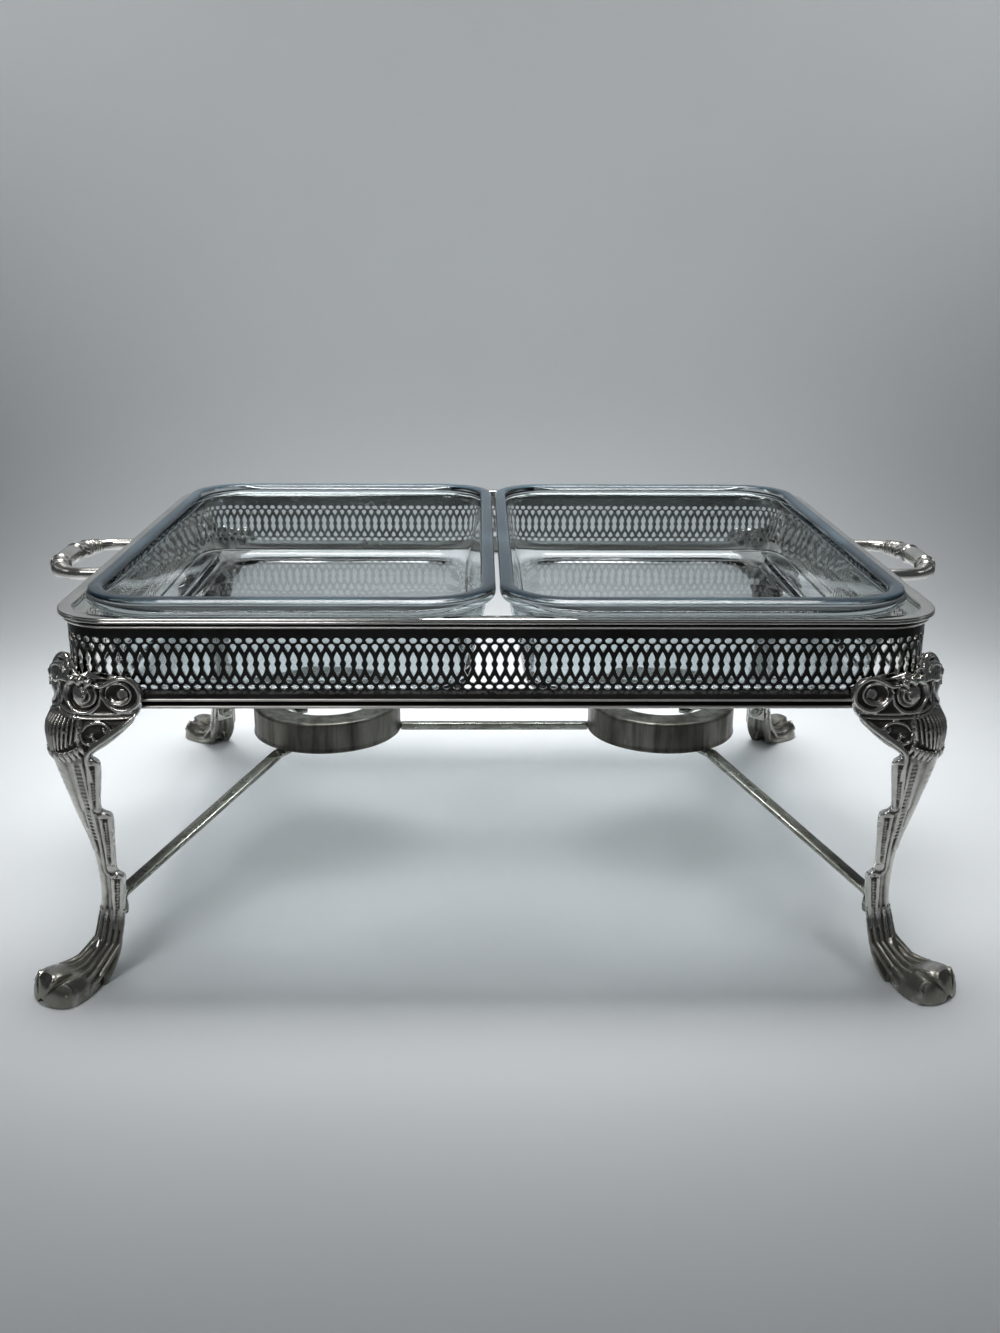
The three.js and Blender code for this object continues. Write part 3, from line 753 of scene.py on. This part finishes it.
def paw_lines():
    """Ribs that run from the ankle over the instep, and the claws' curled rims."""
    lines = []
    for k in range(-4, 5):
        rib = [(leg_point(2.75 * k + NEAR, 31 - 2.5 * i, 0.1), 0.4 + 0.11 * i) for i in range(7)]
        rib += [(paw_point(0.21 * k, 36 + 2.2 * i, 0.0), 1.15 - 0.17 * i) for i in range(6 - abs(k) // 2)]
        lines.append(rib)
    for middle, reach in ((-0.62, 0.17), (0, 0.22), (0.62, 0.17)):
        claw = []
        for i in range(17):
            t = math.radians(-200 + 220 * i / 16)
            spot = (middle + reach * math.cos(t), 57.2 - abs(middle) * 3.4 + 2.0 * math.sin(t))
            claw.append((paw_point(*spot, 0.1), 0.62 - 0.3 * abs(i / 8 - 1) ** 3))
        lines.append(claw)
    return rods("paw_lines", lines)


def fuse(parts):
    """Joins overlapping closed forms into one skin, softens its edges a little and thins out its faces."""
    bpy.ops.object.select_all(action="DESELECT")
    for part in parts:
        part.select_set(True)
    bpy.context.view_layer.objects.active = parts[0]
    bpy.ops.object.join()
    cast = bpy.context.object
    modify(cast, "REMESH", mode="VOXEL", voxel_size=GRAIN * MM, use_smooth_shade=True)
    modify(cast, "SMOOTH", factor=0.5, iterations=2)
    modify(cast, "DECIMATE", ratio=FACES_KEPT)
    return cast


# Inside each face is a boss for a leg screw, and inside the shank a block to which a stretcher is screwed.
GRAIN, FACES_KEPT = 0.38, 0.57
SCREW_ALONG, SCREW_Z = -4.0, 137.7
BOSS_FROM, BOSS_TO, BOSS_R = 24.1, 27.0, 2.5
BLOCK_OUT, BLOCK_Z, BLOCK_SIZE = 18.0, 28.5, (4.2, 10.6, 13.6)
HOLLOW_AT, HOLLOW_SIZE, HOLLOW_TURN, HOLLOW_TILT = (27.0, 32.0, 0.0), (11, 7.4, 7.2), math.radians(48), -0.15
bosses = rods("leg_bosses", [
    [((BOSS_FROM, SCREW_ALONG, SCREW_Z), BOSS_R), ((BOSS_TO, SCREW_ALONG, SCREW_Z), BOSS_R)],
    [((SCREW_ALONG, BOSS_FROM, SCREW_Z), BOSS_R), ((SCREW_ALONG, BOSS_TO, SCREW_Z), BOSS_R)],
])
bpy.ops.mesh.primitive_cube_add(size=MM)
block = bpy.context.object
block.data.transform(
    Matrix.Rotation(math.radians(45), 4, "Z") @ Matrix.Translation(Vector((BLOCK_OUT, 0, BLOCK_Z)) * MM)
    @ Matrix.Diagonal((*BLOCK_SIZE, 1))
)
leg = fuse([leg_shell(), bosses, block, leg_ornament(), crest(), paw(), paw_lines()])
# The paw is hollow underneath, and its edge is ground flat.
bpy.ops.mesh.primitive_uv_sphere_add(segments=32, ring_count=16, radius=MM)
hollow = bpy.context.object
hollow.data.transform(
    Matrix.Translation(Vector(HOLLOW_AT) * MM) @ Matrix.Rotation(HOLLOW_TURN, 4, "Z")
    @ Matrix.Rotation(HOLLOW_TILT, 4, "Y") @ Matrix.Diagonal((*HOLLOW_SIZE, 1))
)
carve(leg, hollow)
bpy.ops.mesh.primitive_cube_add(size=1, location=(0, 0, -0.5))
carve(leg, bpy.context.object)


def mark_hollows(piece, reach):
    """Stores how far each point lies below (0) or above (1) its surroundings, smoothed over that reach."""
    softened = put("softened", piece.data.copy())
    modify(softened, "SMOOTH", factor=0.8, iterations=reach)
    full_range = 1.2 * MM
    heights = [
        0.5 + (vertex.co - mean.co).dot(vertex.normal) / full_range
        for vertex, mean in zip(piece.data.vertices, softened.data.vertices)
    ]
    bpy.data.objects.remove(softened)
    piece.data.attributes.new("relief", "FLOAT", "POINT").data.foreach_set("value", heights)


cast_bright, tarnish = (0.74, 0.72, 0.68), (0.045, 0.04, 0.036)


def silver_cast():
    """Old cast silver plate: bright where hands and cloths reach, dark in the hollows and on the paw."""
    finish = Finish("cast_plate", Metallic=1.0)
    cloud = finish.noise(0.02, 5, roughness=0.6).between(0.35, 0.7)
    relief = finish.node("Attribute", {"attribute_name": "relief"}, output="Fac")
    hollows = 1 - (relief + 0.12 * finish.noise(0.003, 3)).between(0.33, 0.63)
    worn = relief.between(0.6, 0.95)
    colour = finish.mix(cloud * 0.6, cast_bright, plate_dull)
    colour = finish.mix(hollows * 0.95, colour, tarnish)
    colour = finish.mix(worn * 0.85, colour, plate_bright)
    dull_paw = (1 - finish.height().between(0.008, 0.034)) * finish.noise(0.009, 4).between(0.2, 0.55)
    finish.lead("Base Color", finish.mix(dull_paw * 0.85, colour, (0.16, 0.155, 0.125)))
    finish.lead("Roughness", 0.17 + 0.14 * cloud + 0.25 * hollows + 0.14 * dull_paw)
    finish.bump(finish.noise(0.0016, 3), 0.00006, 0.35)
    return finish.material


def for_corner(piece, name, sx, sy):
    """Copy of a piece of the right rear quarter, with a mesh of its own, mirrored to another quarter."""
    data = piece.data.copy()
    data.transform(Matrix.Diagonal((sx, sy, 1, 1)))
    if sx * sy < 0:
        data.flip_normals()
    return put(name, data)


mark_hollows(leg, 40)
leg.data.transform(Matrix.Translation(Vector((CORNER_X, CORNER_Y, 0)) * MM))
cast_plate = silver_cast()
for tag, sx, sy in CORNERS:
    casting = for_corner(leg, "leg_casting_" + tag, sx, sy)
    casting.data.shade_smooth()
    casting.data.materials.append(cast_plate)
    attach(casting, "stand")
    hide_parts("leg_" + tag)
bpy.data.objects.remove(leg)

# Side handles.
# A round bar bent into a loop at each short side, thicker at the grip, with raised collars and
# chased leaves at the grip's ends. Its two ends are screwed on from inside the gallery.
SIDES = [("left", -1), ("right", 1)]
BAR_R, GRIP_Z, GRIP_HALF = 3.1, 161.4, 33.0
BAR_END, BEND_AT, LOOP_DEEP = 186.9, 204, 20.3
GRIP_SWELL, GRIP_REACH = 1.6, 31
END_R, END_LONG = 0.5, 2.2
STEP = 0.4
# Distances from the grip's middle at which small rings and collars stand, and between which the leaf lies.
RINGS, COLLARS, LEAF_FROM, LEAF_TO = (31.2, 29.6, 28.0, 26.4, 24.8), (22.4, 12.6), 14, 21.2


def handle_route():
    """Points along the bar's middle, from the rear end round to the front end, one step apart."""
    way_out = [(BAR_END, GRIP_HALF), (195, GRIP_HALF), (BEND_AT - 1, GRIP_HALF)]
    knots = [Vector(knot) for knot in way_out]
    for k in range(1, 40):
        t = math.radians(90 - 4.5 * k)
        along_side = GRIP_HALF * math.copysign(abs(math.sin(t)) ** 0.9, math.sin(t))
        knots.append(Vector((BEND_AT + LOOP_DEEP * abs(math.cos(t)) ** 0.8, along_side)))
    knots += [Vector((x, -y)) for x, y in reversed(way_out)]
    spaced, carry = knots[:1], 0.0
    for a, b in zip(knots, knots[1:]):
        span = (b - a).length
        at = STEP - carry
        while at <= span:
            spaced.append(a.lerp(b, at / span))
            at += STEP
        carry = span - (at - STEP)
    return spaced + knots[-1:]


ROUTE = handle_route()
ROUTE_LONG = STEP * (len(ROUTE) - 1)


def handle_form(a, b):
    """Point of the bar's surface, a of the way along it and b of the way round it."""
    last = len(ROUTE) - 1
    i = min(int(a * last), last - 1)
    at = ROUTE[i].lerp(ROUTE[i + 1], a * last - i)
    way = ROUTE[min(i + 3, last)] - ROUTE[max(i - 2, 0)]
    side = Vector((way.y, -way.x)).normalized()
    d = abs(a - 0.5) * ROUTE_LONG
    thick = BAR_R + GRIP_SWELL * max(0, 1 - (d / GRIP_REACH) ** 2.6)
    to_end = ROUTE_LONG / 2 - d
    if to_end < END_LONG:
        thick += END_R * math.sqrt(max(0, 1 - (to_end / END_LONG) ** 2))
    for spot in RINGS:
        # The rings at the front end are worn low.
        thick += (0.75 if a < 0.5 else 0.3) * math.exp(-(((d - spot) / 0.55) ** 2))
    for spot in COLLARS:
        thick += 0.8 * math.exp(-(((d - spot) / 0.9) ** 4))
    turn = 2 * math.pi * b
    if LEAF_FROM < d < LEAF_TO:
        window = min((d - LEAF_FROM) / 0.8, (LEAF_TO - d) / 0.8, 1)
        leaf = abs(math.sin(3 * turn + 0.35 * (d - 17))) ** 0.6 - 0.5
        thick += window * (0.8 * leaf - 0.25 * max(0, math.cos(18 * turn + 2.2 * (d - LEAF_FROM))))
    out = math.cos(turn) * thick
    return (at.x + side.x * out, at.y + side.y * out, GRIP_Z + math.sin(turn) * thick)


for tag, sx in SIDES:
    handle = draped("side_handle_" + tag, 480, 60, handle_form)
    handle.data.transform(Matrix.Diagonal((sx, 1, 1, 1)))
    mend(NEAR, fill=True)
    bpy.ops.object.shade_smooth_by_angle(angle=math.radians(50))
    mark_hollows(handle, 16)
    handle.data.materials.append(cast_plate)
    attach(handle, "stand")
    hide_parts("handle_" + tag)

# Burner rings.
# A short cup of thin nickel-plated sheet under each dish, open below, with a rolled lower edge and
# a round opening in its top plate. Heat has stained its wall.
RING_X, RING_R, RING_LOW = 91, 39.9, 66.8
# The sheet's section, as pairs: how far in from the ring's outer radius, and how far up from its lower edge.
RING_SECTION = [
    (0, 0.3), (0.1, 0.1), (0.4, 0), (0.9, 0.1), (1.2, 0.5), (1.1, 1.0), (0.8, 1.3), (0.8, 2.2), (0.8, 15.2),
    (1.2, 15.7), (13.4, 15.1), (14.1, 15.2), (14.5, 15.6), (14.5, 16.0), (14.1, 16.3), (13.4, 16.2),
    (12.8, 16.1), (2.4, 16.3), (1.6, 16.25), (0.9, 15.9), (0.5, 15.2), (0.4, 14.4), (0.4, 3.0), (0.3, 2.0),
    (0.1, 1.2), (0, 0.8),
]


def burner_metal():
    """Dull nickel plate, browned by heat, with runs down the wall."""
    finish = Finish("burner_plate", Metallic=1.0)
    stains = finish.noise(0.02, 6, (1, 1, 0.22), 0.65).between(0.32, 0.72)
    runs = finish.noise(0.006, 4, (1, 1, 0.06), 0.6).between(0.4, 0.75)
    base = finish.mix(stains, (0.3, 0.29, 0.255), (0.1, 0.093, 0.08))
    finish.lead("Base Color", finish.mix(runs * 0.7, base, (0.035, 0.03, 0.025)))
    finish.lead("Roughness", 0.34 + 0.22 * stains)
    finish.bump(finish.noise(0.003, 4), 0.00005, 0.4)
    return finish.material


burner_plate = burner_metal()
for tag, sx in SIDES:
    bpy.ops.mesh.primitive_circle_add(vertices=len(RING_SECTION), radius=1)
    ring = bpy.context.object
    ring.name = ring.data.name = "burner_cup_" + tag
    for vertex, (inward, up) in zip(ring.data.vertices, RING_SECTION):
        vertex.co = Vector((RING_R - inward, 0, RING_LOW + up)) * MM
    bpy.ops.object.mode_set(mode="EDIT")
    bpy.ops.mesh.select_all(action="SELECT")
    bpy.ops.mesh.spin(steps=96, angle=2 * math.pi, center=(0, 0, 0), axis=(0, 0, 1))
    bpy.ops.object.mode_set(mode="OBJECT")
    mend(NEAR)
    ring.data.transform(Matrix.Translation((sx * RING_X * MM, 0, 0)))
    bpy.ops.object.shade_smooth_by_angle(angle=math.radians(50))
    ring.data.materials.append(burner_plate)
    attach(ring, "stand")
    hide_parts("burner_ring_" + tag)

# Tie bar and stretchers.
# Flat nickel-plated bars with rounded edges. One is brazed between the two rings. The four others run
# from under a ring down to an upright lug behind each leg, which a screw holds.
TIE_HALF, TIE_WIDE, TIE_HIGH, TIE_TOP = 51.2, 4.2, 4.1, 69.6
BAR_WIDE, BAR_THICK = 6.8, 2.6
BAR_EDGE = 0.75
BAR_TURN = math.atan2(130.89, 82.89)  # the way from a ring's middle to the leg's lug, seen from above
BAR_ROUTE = [(32.9, 66.5), (41.9, 66.5), (151.8, 36.1), (154.4, 33.6)]  # distance that way, upper height
LUG_R, LUG_THICK, LUG_TOP, LUG_OUT, LUG_HOLE_Z, LUG_HOLE_R = 4.2, 2.4, 35.1, 14.2, 28.5, 1.45


def bar_metal():
    """Nickel plate of the bars, rubbed smooth and a little yellowed."""
    finish = Finish("burner_bar", Metallic=1.0)
    stains = finish.noise(0.014, 5, roughness=0.6).between(0.4, 0.75)
    colour = finish.mix(stains, (0.4, 0.405, 0.36), (0.2, 0.2, 0.17))
    finish.lead("Base Color", finish.mix(finish.noise(0.0025, 3).between(0.6, 0.75) * 0.7, colour, tarnish))
    finish.lead("Roughness", 0.24 + 0.2 * stains)
    finish.bump(finish.noise(0.002, 3), 0.00004, 0.3)
    return finish.material


def flat_bar(name, route, wide, thick):
    """Bar of flat section along (distance, upper height) points, with its edges rounded."""
    bpy.ops.mesh.primitive_plane_add(size=1)
    bar = bpy.context.object
    bar.name = bar.data.name = name
    start, top = route[0]
    for vertex in bar.data.vertices:
        vertex.co = Vector((start, vertex.co.x * wide, top + (vertex.co.y - 0.5) * thick)) * MM
    bpy.ops.object.mode_set(mode="EDIT")
    bpy.ops.mesh.select_all(action="SELECT")
    for (a, high), (b, low) in zip(route, route[1:]):
        onward = ((b - a) * MM, 0, (low - high) * MM)
        bpy.ops.mesh.extrude_region_move(TRANSFORM_OT_translate={"value": onward})
    bpy.ops.object.mode_set(mode="OBJECT")
    mend()
    modify(bar, "BEVEL", width=BAR_EDGE * MM, segments=3, limit_method="ANGLE")
    return bar


def lug_plate(radius, thick, rise=0.0):
    """Round plate behind a leg, square to the corner's diagonal, its upper half raised by rise."""
    bpy.ops.mesh.primitive_cylinder_add(vertices=40, radius=radius * MM, depth=thick * MM)
    plate = bpy.context.object
    for vertex in plate.data.vertices:
        if vertex.co.x < -0.1 * MM:
            vertex.co.x -= rise * MM
    out = LUG_OUT * math.sqrt(0.5)
    spot = Vector((CORNER_X + out, CORNER_Y + out, LUG_HOLE_Z)) * MM
    upright = Matrix.Rotation(math.radians(45), 4, "Z") @ Matrix.Rotation(math.radians(90), 4, "Y")
    plate.data.transform(Matrix.Translation(spot) @ upright)
    return plate


burner_bar = bar_metal()
tie = flat_bar("ring_tie", [(-TIE_HALF, TIE_TOP), (0, TIE_TOP), (TIE_HALF, TIE_TOP)], TIE_WIDE, TIE_HIGH)
bars = [(tie, "tie_bar")]
stretcher = flat_bar("stretcher", BAR_ROUTE, BAR_WIDE, BAR_THICK)
stretcher.data.transform(Matrix.Translation((RING_X * MM, 0, 0)) @ Matrix.Rotation(BAR_TURN, 4, "Z"))
carve(stretcher, lug_plate(LUG_R, LUG_THICK, LUG_TOP - LUG_HOLE_Z - LUG_R), "UNION")
carve(stretcher, lug_plate(LUG_HOLE_R, 3 * LUG_THICK))
for tag, sx, sy in CORNERS:
    bars.append((for_corner(stretcher, "stretcher_bar_" + tag, sx, sy), "stretcher_" + tag))
bpy.data.objects.remove(stretcher)
for piece, node in bars:
    take(piece)
    bpy.ops.object.shade_smooth_by_angle(angle=math.radians(35))
    piece.data.materials.append(burner_bar)
    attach(piece, "stand")
    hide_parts(node)

# Screws.
# Slotted steel screws with round-edged heads: two hold each leg and two each handle, from inside the
# gallery, and one holds each stretcher's lug. Each slot has stopped at an angle of its own.
def turned_steel():
    """Plain steel, turned in fine circles and dulled."""
    finish = Finish("turned_steel", Metallic=1.0)
    dull = finish.noise(0.004, 4).between(0.35, 0.7)
    finish.lead("Base Color", finish.mix(dull, (0.46, 0.45, 0.43), (0.2, 0.19, 0.175)))
    finish.lead("Roughness", 0.26 + 0.2 * dull)
    finish.bump(finish.noise(0.0007, 3), 0.00002, 0.4)
    return finish.material


def slotted_screw(head_r, head_high, shank_r, shank_long):
    """Screw whose head stands up from the origin and whose shank points down."""
    bpy.ops.mesh.primitive_cylinder_add(vertices=32, radius=head_r * MM, depth=head_high * MM)
    blank = bpy.context.object
    blank.data.transform(Matrix.Translation((0, 0, head_high / 2 * MM)))
    pick("FACE", lambda corners: all(co.z < NEAR * MM for co in corners))
    bpy.ops.mesh.inset(thickness=(head_r - shank_r) * MM)
    bpy.ops.mesh.extrude_region_move(TRANSFORM_OT_translate={"value": (0, 0, -shank_long * MM)})
    bpy.ops.object.mode_set(mode="OBJECT")
    pick("EDGE", lambda corners: all(co.z > (head_high - NEAR) * MM for co in corners))
    bpy.ops.mesh.bevel(offset=0.3 * head_high * MM, segments=4)
    bpy.ops.object.mode_set(mode="OBJECT")
    bpy.ops.mesh.primitive_cube_add(size=1, location=(0, 0, head_high * MM))
    slot = bpy.context.object
    slot.scale = (3 * head_r * MM, 0.28 * head_r * MM, 0.9 * head_high * MM)
    carve(blank, slot)
    bpy.ops.object.shade_smooth_by_angle(angle=math.radians(40))
    blank.data.materials.append(steel)
    return blank


steel = turned_steel()
leg_screw = slotted_screw(2.3, 1.8, 1.15, 4.9)
lug_screw = slotted_screw(2.3, 1.4, 1.2, 6.4)
handle_screw = slotted_screw(2.75, 2.0, 1.5, 9.0)
INNER_X, INNER_Y = X_BAND - STRIP_THICK, Y_BAND - STRIP_THICK
screws = []
for tag, sx, sy in CORNERS:
    side_seat = (sx * INNER_X, sy * (CORNER_Y + SCREW_ALONG), SCREW_Z)
    long_seat = (sx * (CORNER_X + SCREW_ALONG), sy * INNER_Y, SCREW_Z)
    back = (LUG_OUT - LUG_THICK / 2) * math.sqrt(0.5)
    lug_seat = (sx * (CORNER_X + back), sy * (CORNER_Y + back), LUG_HOLE_Z)
    screws.append(("leg_screw_side_" + tag, leg_screw, side_seat, (sx, 0, 0)))
    screws.append(("leg_screw_long_" + tag, leg_screw, long_seat, (0, sy, 0)))
    screws.append(("stretcher_screw_" + tag, lug_screw, lug_seat, (sx, sy, 0)))
for side, sx in SIDES:
    for end, sy in (("front", -1), ("rear", 1)):
        handle_seat = (sx * INNER_X, sy * GRIP_HALF, GRIP_Z)
        screws.append((f"handle_screw_{side}_{end}", handle_screw, handle_seat, (sx, 0, 0)))
SLOT_TURN = math.radians(47)
for k, (node, blank, at, way) in enumerate(screws):
    piece = put("slotted_" + node, blank.data.copy())
    aim = Vector((0, 0, -1)).rotation_difference(Vector(way)).to_matrix().to_4x4()
    turned = aim @ Matrix.Rotation(k * SLOT_TURN, 4, "Z")
    piece.data.transform(Matrix.Translation(Vector(at) * MM) @ turned)
    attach(piece, "stand")
    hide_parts(node)
for blank in (leg_screw, lug_screw, handle_screw):
    bpy.data.objects.remove(blank)

# Glass dishes.
# Two clear pressed-glass oven dishes with round corners. Each lies loose in the gallery and hangs on the
# lip by the low shelf at the ends of its rim.
DISH_X, DISH_HX, DISH_HY = 90.8, 90.0, 147.3
# Section of the wall: how far inside the rim at the long sides and at the ends, the height, and the
# corner's radius. It goes from the foot up outside, over the rim and down inside.
DISH_WALL = [
    (44, 46, 129.3, 10), (34, 36, 129.25, 15), (29, 31.5, 129.05, 18), (25, 28, 128.75, 20),
    (21, 24.5, 128.6, 22), (17, 20.5, 128.6, 24), (14.6, 18, 129, 25), (12.4, 15.8, 130.2, 26),
    (11.4, 14.9, 132.4, 26.4), (10.9, 14.6, 135, 26.6), (8.9, 14.3, 145, 26.6), (6.4, 14, 157, 26.6),
    (4.6, 13.7, 166, 26.6), (3.9, 13.4, 170, 26.8), (3, 12.4, 171.2, 27.6), (1.6, 9.5, 171.35, 31),
    (0.9, 3, 171.35, 37), (0.5, 1, 171.5, 38.6), (0.15, 0.25, 172.1, 39.5), (0, 0, 172.8, 40),
    (0, 0.15, 173.5, 39.9), (0.05, 1, 174.2, 39.2), (0.1, 2.6, 174.6, 37.8), (0.15, 6, 174.8, 34.8),
    (0.2, 8.6, 175, 32.2), (0.3, 9.8, 175.4, 31), (0.6, 10.6, 176.1, 30), (1.3, 11.6, 176.5, 29),
    (2.6, 13, 176.6, 28), (4.4, 15, 176.55, 26.6), (5.6, 16.2, 176.3, 25.6), (6.4, 17, 175.6, 25),
    (6.9, 17.3, 174.2, 24.6), (7.4, 17.5, 170, 24.4), (8.8, 17.8, 162, 24.2), (10.6, 18.2, 152, 23.8),
    (13.2, 18.8, 140, 23), (14.4, 19.2, 136.4, 22.4), (16.4, 20.6, 134, 21), (19.5, 23.4, 133.1, 19.2),
    (26, 29, 133, 16), (40, 42, 133.1, 12),
]
ROUND_STEPS, STRAIGHT_STEPS = 14, 10


def dish_outline(side_inset, end_inset, corner_r):
    """Points round the dish, this far inside its rim at the long sides and at the ends."""
    hx, hy = DISH_HX - side_inset - corner_r, DISH_HY - end_inset - corner_r
    rounds = []
    for sx, sy, start in ((1, -1, -90), (1, 1, 0), (-1, 1, 90), (-1, -1, 180)):
        turns = (math.radians(start + 90 * k / ROUND_STEPS) for k in range(ROUND_STEPS + 1))
        middle = Vector((sx * hx, sy * hy))
        rounds.append([middle + corner_r * Vector((math.cos(a), math.sin(a))) for a in turns])
    points = []
    for bend, after in zip(rounds, rounds[1:] + rounds[:1]):
        points += bend + [bend[-1].lerp(after[0], k / STRAIGHT_STEPS) for k in range(1, STRAIGHT_STEPS)]
    return points


glass = Finish("pressed_glass", Roughness=0.0, IOR=1.47, Transmission_Weight=1.0)
high = glass.height()
glass.lead("Base Color", glass.mix(high.between(0.1738, 0.176), (0.77, 0.815, 0.825), (0.6, 0.73, 0.8)))
glass.bump(glass.noise(0.055, 1) + glass.noise(0.02, 1) * 0.12, 0.0016, 0.3)
# The rim's top gathers light along its length, so it shows the slate blue of the glass itself.
rim_colour = glass.mix(glass.noise(0.07, 2).between(0.42, 0.66), (0.022, 0.045, 0.066), (0.075, 0.13, 0.165))
rim = glass.node("BsdfPrincipled", inputs={"Base Color": rim_colour, "Roughness": 0.05, "IOR": 1.5})
share = high.between(0.1751, 0.1761) * 0.82
body = Signal(glass, glass.shader.outputs["BSDF"])
blend = glass.node("MixShader", inputs={0: share, 1: body, 2: rim})
glass.plug(glass.tree.nodes["Material Output"].inputs["Surface"], blend)
outlines = [dish_outline(side, end, corner_r) for side, end, _, corner_r in DISH_WALL]
around = len(outlines[0])
for tag, sx in SIDES:
    def wall_point(a, b):
        row = round(b * (len(DISH_WALL) - 1))
        x, y = outlines[row][round(a * around) % around]
        return (sx * DISH_X + x, y, DISH_WALL[row][2])

    dish = draped("glass_dish_pressed_" + tag, around, len(DISH_WALL) - 1, wall_point)
    mend(NEAR / 10, fill=True)
    bpy.ops.object.shade_smooth_by_angle(angle=math.radians(60))
    dish.data.materials.append(glass.material)
    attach(dish, "dish_" + tag)
    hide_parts("glass_dish_" + tag)
